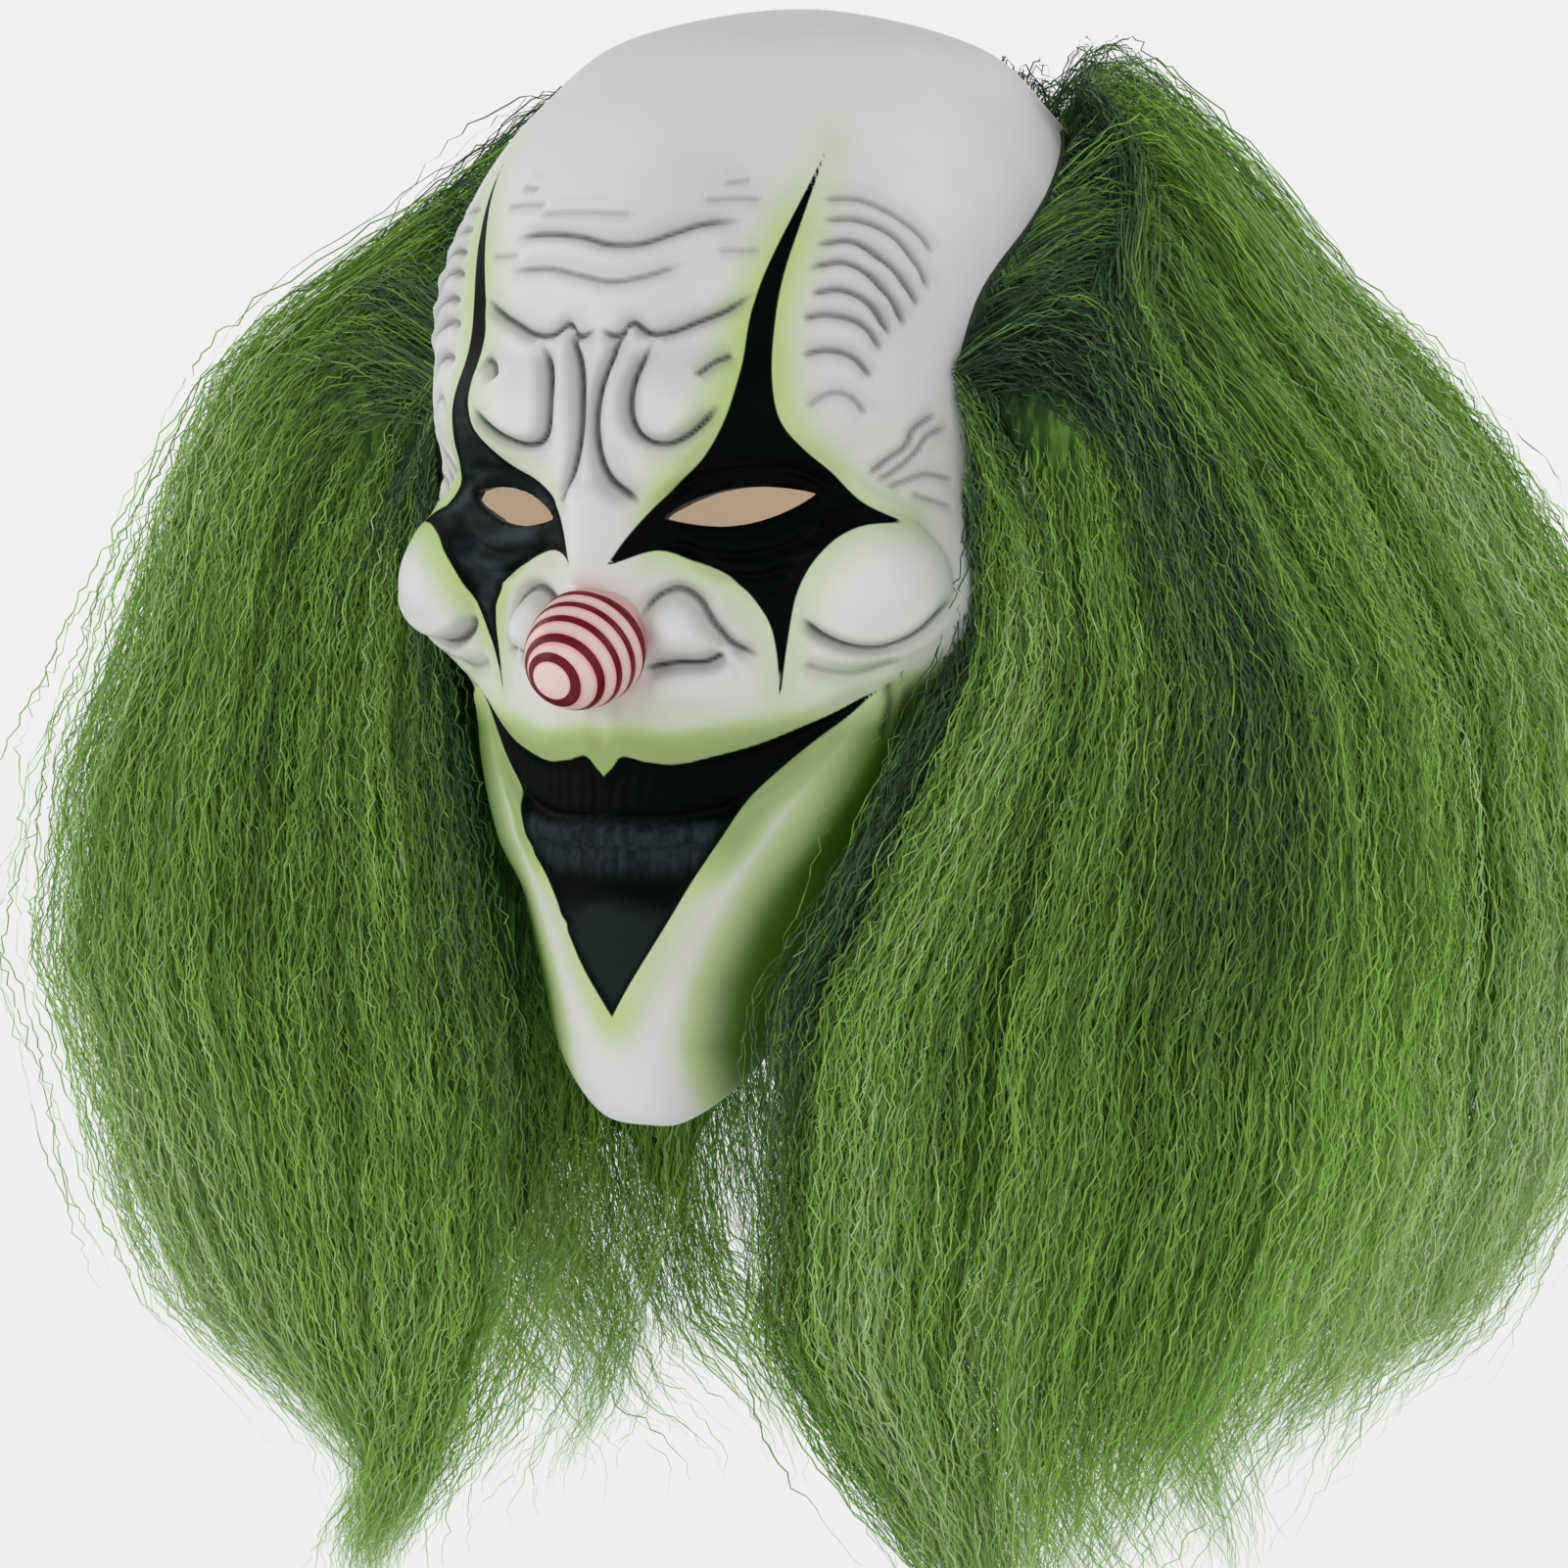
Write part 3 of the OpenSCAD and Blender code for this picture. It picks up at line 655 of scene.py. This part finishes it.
def build_head():
    """The shell as one closed skin, sculpted outside and plainer inside, open at the eyes and the neck."""
    outer, inner, paint = head_skins()
    poles = [grid[0].mean(0)[None] for grid in (outer, inner)]
    points = np.concatenate([outer.reshape(-1, 3), inner.reshape(-1, 3), *poles])
    bare = inner[..., 0].size + len(poles)
    values = {
        key: np.concatenate([layer.ravel(), np.full(bare, NO_BLACK if key == "black" else 0.0)])
        for key, layer in paint.items()
    }
    faces, slots, openings = [], [], []
    start = 0
    for slot, grid in enumerate((outer, inner)):
        rows, columns = grid.shape[:2]
        number = np.arange(rows * columns).reshape(rows, columns) + start
        start += rows * columns
        right = np.roll(number, -1, axis=1)
        quads = np.stack([number[:-1], number[1:], right[1:], right[:-1]], -1).reshape(-1, 4)
        quads = quads[~in_eye(points[quads]).any(-1)]
        loops = {opening_of(points[loop]): loop for loop in outer_loops(quads)}
        for eye in (LEFT_EYE, RIGHT_EYE):
            points[loops[eye]] = to_eye_edge(points[loops[eye]])
        openings.append(loops)
        crown = number[0].tolist()
        pole = len(points) - len(poles) + slot
        cap = [(pole, a, b) for a, b in zip(crown, crown[1:] + crown[:1])]
        skin = [tuple(q) for q in quads.tolist()] + cap
        faces += [face[::-1] for face in skin] if slot else skin
        slots += [slot] * len(skin)
    for opening in (LEFT_EYE, RIGHT_EYE, NECK):
        rim = zipper(openings[0][opening], openings[1][opening], points)
        faces += rim
        slots += [1 if opening == NECK else 2] * len(rim)
    inside, shader = plain_material("latex_inside", srgb(218, 204, 188), roughness=0.6)
    # painted glow: the inside gives off a little light of its own, for daylight that comes through the thin
    # latex
    shader.inputs["Emission Color"].default_value = srgb(212, 200, 184)
    shader.inputs["Emission Strength"].default_value = 0.22
    edge, _ = plain_material("latex_edge", srgb(30, 32, 30), roughness=0.5)
    head = new_piece("latex_head", points, faces, [latex_material(), inside, edge], values, slots)
    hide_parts("latex_shell")
    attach(head, "mask")


# ---------------------------------------------------------------- the nose
NOSE_BASE, NOSE_TILT, NOSE_D, NOSE_L, NOSE_BED = (0, -98, -35), 25, 28, 21, 8
TURNS = 4.3  # of the red stripe, up to the ring below the red tip


def build_nose():
    """A rounded cone with a slightly raised spiral stripe, closed below where it sinks into the face."""
    rings, around = 80, 128
    share = 1 - (1 - np.linspace(0, 1, rings)) ** 1.3
    radius = NOSE_D / 2 * (1 - 0.06 * share) * np.sqrt(np.clip(1 - share**2.4, 0, 1))
    height = NOSE_L * share
    angle = np.arange(around) / around * 2 * math.pi
    phase = TURNS * share[:, None] - angle[None] / (2 * math.pi)
    tip = smooth(0.93, 0.955, share)[:, None]
    ring = smooth(0.87, 0.885, share)[:, None] - tip
    stripe = np.cos(2 * math.pi * phase) * (1 - ring - tip) + ring - tip
    bulge = 1 + 0.01 * stripe
    x = radius[:, None] * np.cos(angle) * bulge
    y = radius[:, None] * np.sin(angle) * bulge
    points = np.stack([x, y, np.broadcast_to(height[:, None], x.shape)], -1).reshape(-1, 3)
    bed = 0.4 * NOSE_D * np.stack([np.cos(angle), np.sin(angle)], -1)
    points = np.concatenate([np.column_stack([bed, np.full(around, -NOSE_BED)]), points])
    stripe = np.concatenate([np.full(around, -1.0), stripe.ravel()])
    tilt = math.radians(90 + NOSE_TILT)
    turn = np.array([[1, 0, 0], [0, math.cos(tilt), -math.sin(tilt)], [0, math.sin(tilt), math.cos(tilt)]])
    points = points @ turn.T + NOSE_BASE
    number = np.arange(len(points)).reshape(-1, around)
    right = np.roll(number, -1, axis=1)
    quads = np.stack([number[:-1], right[:-1], right[1:], number[1:]], -1).reshape(-1, 4)
    faces = [tuple(q) for q in quads.tolist()] + [tuple(number[0][::-1].tolist()), tuple(number[-1].tolist())]
    nose = new_piece("nose", points, faces, [spiral_material()], {"stripe": stripe})
    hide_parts("nose_cone")
    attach(nose, "mask")


# ---------------------------------------------------------------- the hair
# Lines of the sewn bands on the head as (u, v), lower, middle and upper: side ones from rear to front,
# back ones from left to right.
SIDE_WEFTS = [
    [(2.62, 6.55), (2.2, 6.9), (1.8, 7.4), (1.5, 8.1), (1.34, 8.9)],
    [(2.62, 4.35), (2.2, 4.8), (1.8, 5.4), (1.5, 6.2), (1.34, 7.1)],
    [(2.64, 2.32), (2.2, 2.9), (1.8, 3.7), (1.5, 4.5), (1.28, 5.6)],
]
BACK_WEFTS = [
    [(2.62, 6.5), (3.3, 6.4), (4, 6.4), (4.7, 6.4), (5.38, 6.5)],
    [(2.62, 4.3), (3.3, 4.2), (4, 4.2), (4.7, 4.2), (5.38, 4.3)],
    [(2.62, 2.32), (3.3, 2.25), (4, 2.2), (4.7, 2.25), (5.38, 2.32)],
]
# Tables of (height, value). Side hair lies in front of PART_Y and back hair behind it.
PART_Y = 46
HALF_BREADTH, BACK_REACH = 218, 158
# Breadth of the hair as a share of HALF_BREADTH, for the left side, the right side and the back.
LEFT, RIGHT, BACK = 1, -1, 0
SPREAD = {
    LEFT: [(-262, 0.58), (-240, 0.70), (-200, 0.86), (-150, 0.95), (-100, 0.96), (-48, 0.90), (7, 0.76),
           (27, 0.68), (51, 0.58), (84, 0.46), (112, 0.34)],
    RIGHT: [(-262, 0.34), (-240, 0.44), (-204, 0.68), (-172, 0.79), (-120, 0.92), (-73, 0.95), (-35, 0.89),
            (7, 0.80), (51, 0.70), (73, 0.66), (84, 0.62), (100, 0.56), (112, 0.50)],
    BACK: [(-262, 0.45), (-240, 0.55), (-200, 0.76), (-150, 0.90), (-100, 0.94), (-40, 0.88), (7, 0.75),
           (30, 0.67), (51, 0.58), (84, 0.47), (112, 0.36)],
}
BACK_SPREAD = [(-240, 0.72), (-190, 0.88), (-120, 0.97), (-40, 0.95), (16, 0.86), (54, 0.76), (84, 0.66),
               (100, 0.60), (112, 0.54)]
# y of the side hair's front edge, then half the breadth and the rear of the head and the room under it.
FRONT_Y = [(-262, -70), (-200, -88), (-120, -84), (-75, -66), (-40, -55), (0, -56), (30, -51), (48, -38),
           (60, -18), (76, 8), (92, 24), (112, 32)]
HEAD_X = [(-262, 98), (-226, 72), (-194, 54), (-150, 50), (-90, 60), (-45, 74), (0, 82), (40, 81), (60, 77),
          (78, 70), (97, 58), (112, 42)]
HEAD_BACK = [(-262, 76), (-90, 81), (-45, 96), (0, 105), (30, 106), (52, 101), (75, 93), (95, 77), (112, 50)]
GREENS = [(50, 65, 50), (75, 98, 69), (94, 131, 68), (116, 160, 70), (139, 188, 78), (163, 199, 120),
          (190, 213, 166)]
# Shade of the hair, 0 darkest to 6 palest: at the sides outward along the front edge (0 to 1) and then
# back over the outer surface (1 to 2), for the back across it from right to left.
SHADES = {
    LEFT: [(0, 1.0), (0.10, 1.3), (0.16, 4.4), (0.32, 4.6), (0.38, 1.8), (0.46, 3.9), (0.58, 3.4),
           (0.68, 1.7), (0.92, 1.5), (1.04, 3.2), (1.3, 4.0), (1.5, 3.8), (1.75, 5.2), (2, 5.0)],
    RIGHT: [(0, 2.0), (0.10, 2.4), (0.18, 4.0), (0.28, 2.6), (0.38, 3.8), (0.50, 2.4), (0.62, 3.8),
            (0.74, 4.4), (0.9, 4.6), (1.1, 4.8), (1.5, 3.0), (2, 2.2)],
    BACK: [(-1, 2.2), (-0.6, 3.0), (-0.3, 2.2), (0, 3.2), (0.35, 2.3), (0.7, 4.0), (1, 4.4)],
}
# In mm: the width of a strand, the length of a long one, and the step between its points.
STRAND_WIDTH, STRAND_LENGTH, STEP = 0.35, 350, 2.9
STRANDS_A_PIECE, STRANDS_A_LOCK = 800, 16
LOWEST, HIGHEST = -281, 127  # no strand passes these heights
# A random number from 0 to 1 makes a lock one of these kinds: fanned over the front face, down the
# parting, close to the head, or down from the temple. The other locks are in the outer layers.
SIDE_LOCKS = {"fan": (0, 0.44), "parting": (0.44, 0.54), "close": (0.78, 0.86), "temple": (0.86, 1)}
BACK_LOCKS = {"parting": (0, 0.16), "close": (0.62, 1)}
# Slow waves of a lock: turns over its length and mm. Crimp of a strand: the least and most of each.
SLOW_WAVES = ((1.3, 3.6), (3.6, 1.3))
CRIMP_TURNS, CRIMP_SIZE = (44, 68), (0.2, 0.65)
# Heights between which the dense core of a curtain lies.
CORE_TOP, CORE_SHOULDER = 84, 34
CORE_BOTTOM = {LEFT: -180, RIGHT: -180, BACK: -142}


def side_place(a, q, z, side):
    """Place in the side hair: a runs from its front edge to the parting, q from the head outward."""
    front = at_height(FRONT_Y, z)
    y = front + a * (PART_Y - front)
    round_head = np.clip(1 - np.abs(y / np.where(y < 0, 98, 112)) ** 2.5, 0.15, 1) ** 0.4
    inner = at_height(HEAD_X, z) * round_head + 4
    outer = HALF_BREADTH * at_height(SPREAD[side], z) * (1 - 0.13 * (1 - a) ** 2)
    return inner + q * np.maximum(outer - inner, 2), y


def back_place(b, q, z):
    """Place in the back hair: b runs from -1 on the right to 1 on the left, q from the head outward."""
    x = b * (HALF_BREADTH - 6) * at_height(SPREAD[BACK], z)
    across = np.clip(np.abs(x) / at_height(HEAD_X, z), 0, 1)
    inner = np.maximum(at_height(HEAD_BACK, z) * (1 - across**2.6) ** 0.385, PART_Y) + 4
    reach = BACK_REACH * at_height(BACK_SPREAD, z) - PART_Y - 6
    outer = PART_Y + 6 + reach * np.sqrt(1 - 0.92 * np.abs(b) ** 4)
    return x, inner + q * np.maximum(outer - inner, 2)


def weft_point(wefts, along, row):
    """Point on the head: along is 0 to 1 down the bands, row 0 to 2 from the lower band to the upper."""
    table = np.array(wefts, float)
    k = np.clip(along * 4, 0, 3.999)
    r = np.clip(row, 0, 1.999)
    i, j = k.astype(int), r.astype(int)
    f, g = (k - i)[:, None], (r - j)[:, None]
    low = (1 - f) * table[j, i] + f * table[j, i + 1]
    high = (1 - f) * table[j + 1, i] + f * table[j + 1, i + 1]
    uv = (1 - g) * low + g * high
    u, v = uv[:, 0] % 8, uv[:, 1] - 0.22
    return head_point(u, v) + head_normal(u, v) * 1.5


def plan_strands(count, side):
    """For each strand: its lock, its share a across the hair, its depth q, and its root on the bands."""
    locks = count // STRANDS_A_LOCK
    lock = np.arange(count) % locks
    draw = rng.random(locks)
    kinds = SIDE_LOCKS if side else BACK_LOCKS
    among = {kind: (draw >= low) & (draw < high) for kind, (low, high) in kinds.items()}
    a = rng.random(locks) if side else rng.uniform(-1, 1, locks)
    q = 1 - 0.26 * rng.random(locks) ** 0.9
    row = 2 - 0.35 * rng.random(locks)
    rooted = a.copy()
    parting, close = among["parting"], among["close"]
    if side:
        fan, temple = among["fan"], among["temple"]
        q[fan] = rng.random(fan.sum()) ** 0.9
        a[fan] = 0.05 * rng.random(fan.sum()) ** 2
        rooted[fan] = 0.22 + 0.78 * q[fan]
        q[temple] = 0.4 * rng.random(temple.sum())
        a[temple] = 0.04 * rng.random(temple.sum())
        rooted[temple] = 0.08 * rng.random(temple.sum())
        row[temple] = 1.9 * rng.random(temple.sum())
        a[parting] = rooted[parting] = rng.uniform(0.94, 1.05, parting.sum())
    else:
        a[parting] = np.sign(a[parting]) * rng.uniform(0.88, 1.0, parting.sum())
    q[parting] = rng.random(parting.sum())
    q[close] = 0.04 + 0.12 * rng.random(close.sum())
    row[close] = 2 * rng.random(close.sum())
    a = a[lock] + rng.normal(0, 0.016, count)
    q = q[lock] + rng.normal(0, 1, count) * (0.02 + 0.045 * q[lock] ** 3)
    row = row[lock] + rng.normal(0, 0.08, count)
    rooted = rooted[lock] + rng.normal(0, 0.03, count)
    q = np.clip(np.abs(q), 0, 1.14)
    if side:
        a, along = np.clip(np.abs(a), 0, 1.06), 1 - np.clip(np.abs(rooted), 0, 1)
    else:
        a, along = np.clip(a, -1, 1), (1 - np.clip(rooted, -1, 1)) / 2
    return lock, a, q, along, row


def strand_paths(count, side):
    """Centre lines of the strands of one curtain, before any crimp."""
    lock, a, q, along, row = plan_strands(count, side)
    root = weft_point(SIDE_WEFTS if side else BACK_WEFTS, along, row)
    w = np.linspace(0, 1, int(STRAND_LENGTH / STEP))[None]
    # the tips' heights, ragged from lock to lock and from strand to strand
    tip = -260 + 46 * q**1.5 + 44 * a * q if side else -238 + 40 * q + 18 * np.abs(a) ** 3
    tip = tip + rng.normal(0, 13, count) + rng.normal(0, 9, lock.max() + 1)[lock]
    tip = np.maximum(tip, rng.uniform(-280, -264, count))
    a, q = a[:, None], q[:, None]
    z = root[:, 2:] + (tip[:, None] - root[:, 2:]) * w ** (1.05 + 0.2 * q)
    # outer strands first rise off the bands, and every strand eases out from its root to its place
    puff = np.clip(w / 0.2, 0, 1)
    z = z + (26 if side else 34) * np.minimum(q, 1) ** 3 * 4 * puff * (1 - puff)
    x, y = side_place(a, q, z, side) if side else back_place(a, q, z)
    ease = 1 - (1 - np.clip(w / (0.46 - 0.22 * q**2), 0, 1)) ** 2.4
    x = root[:, :1] + (x - root[:, :1]) * ease
    y = root[:, 1:2] + (y - root[:, 1:2]) * ease
    # past its root, no strand goes inside the head
    off = smooth(0, 0.06, w)
    if side:
        head = at_height(HEAD_X, z) * np.clip(1 - np.abs(y / 106) ** 2.5, 0.1, 1) ** 0.4 + 2
        x = x + off * np.maximum(head - x, 0)
    else:
        round_head = np.clip(1 - np.abs(x / at_height(HEAD_X, z)) ** 2.6, 0, 1) ** 0.385
        head = at_height(HEAD_BACK, z) * round_head + 2
        y = y + off * np.maximum(head - y, 0)
    return np.stack([x, y, z], -1), a[:, 0], q[:, 0], lock, w


def wave(points, lock, w):
    """Adds slow waves shared by a lock and an irregular crimp of each strand's own."""
    count, nodes = points.shape[:2]
    w = w[..., None]
    grow = smooth(0.0, 0.06, w)
    for turns, amount in SLOW_WAVES:
        phase = rng.uniform(0, 2 * math.pi, (lock.max() + 1, 1, 2))[lock] + rng.normal(0, 0.35, (count, 1, 2))
        points[..., :2] += amount * grow * smooth(0.05, 0.6, w) * np.sin(2 * math.pi * turns * w + phase)
    phase = rng.uniform(0, 2 * math.pi, (count, 1, 3))
    drift = np.cumsum(rng.normal(0, 0.4, points.shape), axis=1)
    turns = rng.uniform(*CRIMP_TURNS, (count, 1, 1))
    size = rng.uniform(*CRIMP_SIZE, (count, 1, 1))
    points += grow * size * np.sin(2 * math.pi * turns * w + phase + drift)
    loose = np.where(rng.random((count, 1, 1)) < 0.2, 1.8, 1.0)
    wander = np.cumsum(rng.normal(0, 0.28, points.shape), axis=1)
    points += grow * (0.40 * rng.normal(0, 1, points.shape) + loose * (wander - wander[:, :1]))
    return points


def hair_piece(name, points, shade, dark_root, materials):
    """Ribbons along the strands, each face in one of the plain greens."""
    count, nodes = points.shape[:2]
    along = np.gradient(points, axis=1)
    along /= np.linalg.norm(along, axis=-1, keepdims=True)
    outward = points * (1, 1, 0) + 1e-6
    across = np.cross(along, outward)
    across /= np.linalg.norm(across, axis=-1, keepdims=True) + 1e-9
    facing = np.cross(across, along)
    roll = rng.normal(0, 0.9, (count, 1, 1)) + np.cumsum(rng.normal(0, 0.25, (count, nodes, 1)), axis=1)
    taper = np.clip((nodes - np.arange(nodes)) / 10, 0.2, 1)[None, :, None]
    offset = (np.cos(roll) * across + np.sin(roll) * facing) * STRAND_WIDTH / 2 * taper
    ribbon = np.stack([points - offset, points + offset], 2).reshape(-1, 3)
    first = (np.arange(count)[:, None] * nodes + np.arange(nodes - 1)[None]).reshape(-1) * 2
    quads = np.stack([first, first + 1, first + 3, first + 2], -1)
    share = np.linspace(0, 1, nodes - 1)
    tone = shade[:, None] + (3.4 - shade[:, None]) * 0.4 * smooth(0.3, 0.8, share)
    tone = tone + rng.normal(0, 0.45, (count, nodes - 1)) - dark_root[:, None] * (1 - smooth(0, 0.28, share))
    tone = tone + 1.2 * smooth(0.55, 0.95, share)
    slots = np.clip(np.round(tone), 0, len(GREENS) - 1).reshape(-1)
    return new_piece(name, ribbon, quads, materials, slots=slots)


def core_grid(side):
    """Rows over height, each a loop round the plan of the dense inner mass of one curtain."""
    turn = np.linspace(0, 1, 80)
    heights = np.linspace(CORE_TOP, CORE_SHOULDER, 12), np.linspace(CORE_SHOULDER - 6, CORE_BOTTOM[side], 50)
    rows = []
    for z in np.concatenate(heights):
        thin = smooth(-200, -100, z) * smooth(92, 20, z)
        outer_q, inner_q = 0.3 + 0.5 * thin, 0.3 - 0.24 * thin
        if side:
            first, last = 0.07 + 0.3 * (1 - thin), 0.97
            outer = side_place(first + turn * (last - first), outer_q, z, side)
            inner = side_place(last + turn * (first - last), inner_q, z, side)
        else:
            wide = 0.6 + 0.32 * thin
            outer = back_place(wide * (1 - 2 * turn), outer_q, z)
            inner = back_place(wide * (2 * turn - 1), inner_q, z)
        plan = np.concatenate([np.stack(outer, -1), np.stack(inner, -1)])
        rows.append(np.column_stack([plan, np.full(len(plan), z)]))
    return np.array(rows)


def build_core(side, body, material):
    """The mass under the strands, closed at its top and bottom by strips between its two long sides."""
    grid = core_grid(side)
    rows, columns = grid.shape[:2]
    flute = rng.normal(0, 1.4, (1, columns, 1)) + rng.normal(0, 0.6, (rows, columns, 1))
    grid = grid + flute * (1, 1, 0)
    knots = np.interp(np.arange(columns), np.linspace(0, columns, 22), rng.normal(0, 16, 22))
    grid[..., 2] += smooth(-60, -180, grid[..., 2]) * knots
    number = np.arange(rows * columns).reshape(rows, columns)
    right = np.roll(number, -1, axis=1)
    quads = [np.stack([number[:-1], right[:-1], right[1:], number[1:]], -1).reshape(-1, 4)]
    half = columns // 2
    for row, top in ((number[0], True), (number[-1], False)):
        far = row[::-1]
        strip = np.stack([row[: half - 1], row[1:half], far[1:half], far[: half - 1]], -1)
        quads.append(strip[:, ::-1] if top else strip)
    quads = np.concatenate(quads)
    if side < 0:
        grid = grid * (-1, 1, 1)
        quads = quads[:, ::-1]
    return new_piece(f"{body}_core", grid.reshape(-1, 3), quads, [material])


def build_hair():
    """Three curtains, each a core and pieces of strands sorted outward."""
    greens = [plain_material(f"hair_{k}", srgb(*rgb), 0.7, 0.2)[0] for k, rgb in enumerate(GREENS)]
    core_material = hair_core_material()
    for side, word, pieces in ((LEFT, "left", 5), (RIGHT, "right", 5), (BACK, "back", 6)):
        body = f"{word}_hair"
        rows = [f"hair_{word}_{row}" for row in ("lower", "middle", "upper")]
        points, a, q, lock, w = strand_paths(pieces * STRANDS_A_PIECE, side)
        shade = at_height(SHADES[side], q + a * q if side else a)
        shade = shade + rng.normal(0, 0.55, lock.max() + 1)[lock] + rng.normal(0, 0.35, len(q))
        dark_root = (0.7 if side > 0 else 1.4) + 1.6 * q
        points = wave(points, lock, w)
        points[..., 2] = np.clip(points[..., 2], LOWEST, HIGHEST)
        if side:
            points[..., 1] = np.minimum(points[..., 1], PART_Y + 12)
            points[..., 0] *= side
        else:
            points[..., 1] = np.maximum(points[..., 1], PART_Y - 8)
        made = [build_core(side, body, core_material)]
        for k, chosen in enumerate(np.array_split(np.argsort(q), pieces)):
            name = f"{body}_strands_{k + 1}"
            made.append(hair_piece(name, points[chosen], shade[chosen], dark_root[chosen], greens))
        for k, piece in enumerate(made):
            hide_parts(rows[1 if k == 0 else min(k - 1, 2)])
            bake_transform(piece)


# ---------------------------------------------------------------- camera, light and floor
BACKDROP = (240, 240, 240)
FLOOR_Z, FLOOR_HALF = -420, 6000
AIM = Vector((-0.0029, -0.0017, -0.0729))  # what the camera looks at, in metres
AZIMUTH, ELEVATION, DISTANCE, LENS, SENSOR = math.radians(30), math.radians(3), 1.4, 126.9, 36
# Area lights: place in metres, size in metres and power in watts.
LIGHTS = [
    ("key", (-1.4, -1.7, 0.8), 0.9, 9),
    ("fill", (1.9, -1.0, 0.5), 1.2, 3.5),
    ("left_side", (1.9, 0.5, 1.0), 0.8, 7),
    ("right_side", (-1.9, 0.1, 1.0), 0.8, 5),
    ("top", (0.1, 0.3, 1.9), 0.9, 1.5),
]


def build_stage():
    """A white room: bright round the horizon, dimmer overhead, with a pale floor well below the hair."""
    world = bpy.data.worlds.new("white_room")
    world.use_nodes = True
    tree = world.node_tree
    place = tree.nodes.new("ShaderNodeTexCoord")
    split = tree.nodes.new("ShaderNodeSeparateXYZ")
    ramp = tree.nodes.new("ShaderNodeValToRGB")
    tree.links.new(place.outputs["Generated"], split.inputs[0])
    tree.links.new(split.outputs["Z"], ramp.inputs[0])
    tree.links.new(ramp.outputs[0], tree.nodes["Background"].inputs[0])
    ramp.color_ramp.elements[0].position = 0.30
    ramp.color_ramp.elements[0].color = srgb(*BACKDROP)
    ramp.color_ramp.elements[1].position = 0.75
    ramp.color_ramp.elements[1].color = srgb(150, 150, 150)
    bpy.context.scene.world = world
    bpy.context.scene.view_settings.view_transform = "Standard"
    floor, shader = plain_material("floor", srgb(40, 40, 40), roughness=1.0, specular=0.0)
    shader.inputs["Emission Color"].default_value = srgb(*BACKDROP)
    shader.inputs["Emission Strength"].default_value = 0.97
    corners = [(x * FLOOR_HALF, y * FLOOR_HALF, FLOOR_Z) for x, y in ((-1, -1), (1, -1), (1, 1), (-1, 1))]
    ground = new_piece("floor", corners, [(0, 1, 2, 3)], [floor])
    for name, place, size, power in LIGHTS:
        light = bpy.data.lights.new(name, "AREA")
        light.size = size
        light.energy = power
        lamp = bpy.data.objects.new(name, light)
        lamp.location = place
        lamp.rotation_euler = (Vector((0, 0, -0.05)) - Vector(place)).to_track_quat("-Z", "Y").to_euler()
        bpy.context.collection.objects.link(lamp)


def build_camera():
    level = math.cos(ELEVATION)
    back = Vector((math.sin(AZIMUTH) * level, -math.cos(AZIMUTH) * level, math.sin(ELEVATION)))
    data = bpy.data.cameras.new("camera")
    data.sensor_width = SENSOR
    data.lens = LENS
    camera = bpy.data.objects.new("camera", data)
    camera.location = AIM + back * DISTANCE
    camera.rotation_euler = (-back).to_track_quat("-Z", "Y").to_euler()
    bpy.context.collection.objects.link(camera)
    bpy.context.scene.camera = camera


def colour_bands():
    """The sewn bands keep their CAD shape and take the look of stitched weft."""
    material = weft_material()
    for name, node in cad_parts.items():
        if name.startswith("band_"):
            for k in range(len(node.data.materials)):
                node.data.materials[k] = material


build_head()
build_nose()
colour_bands()
build_hair()
build_stage()
build_camera()
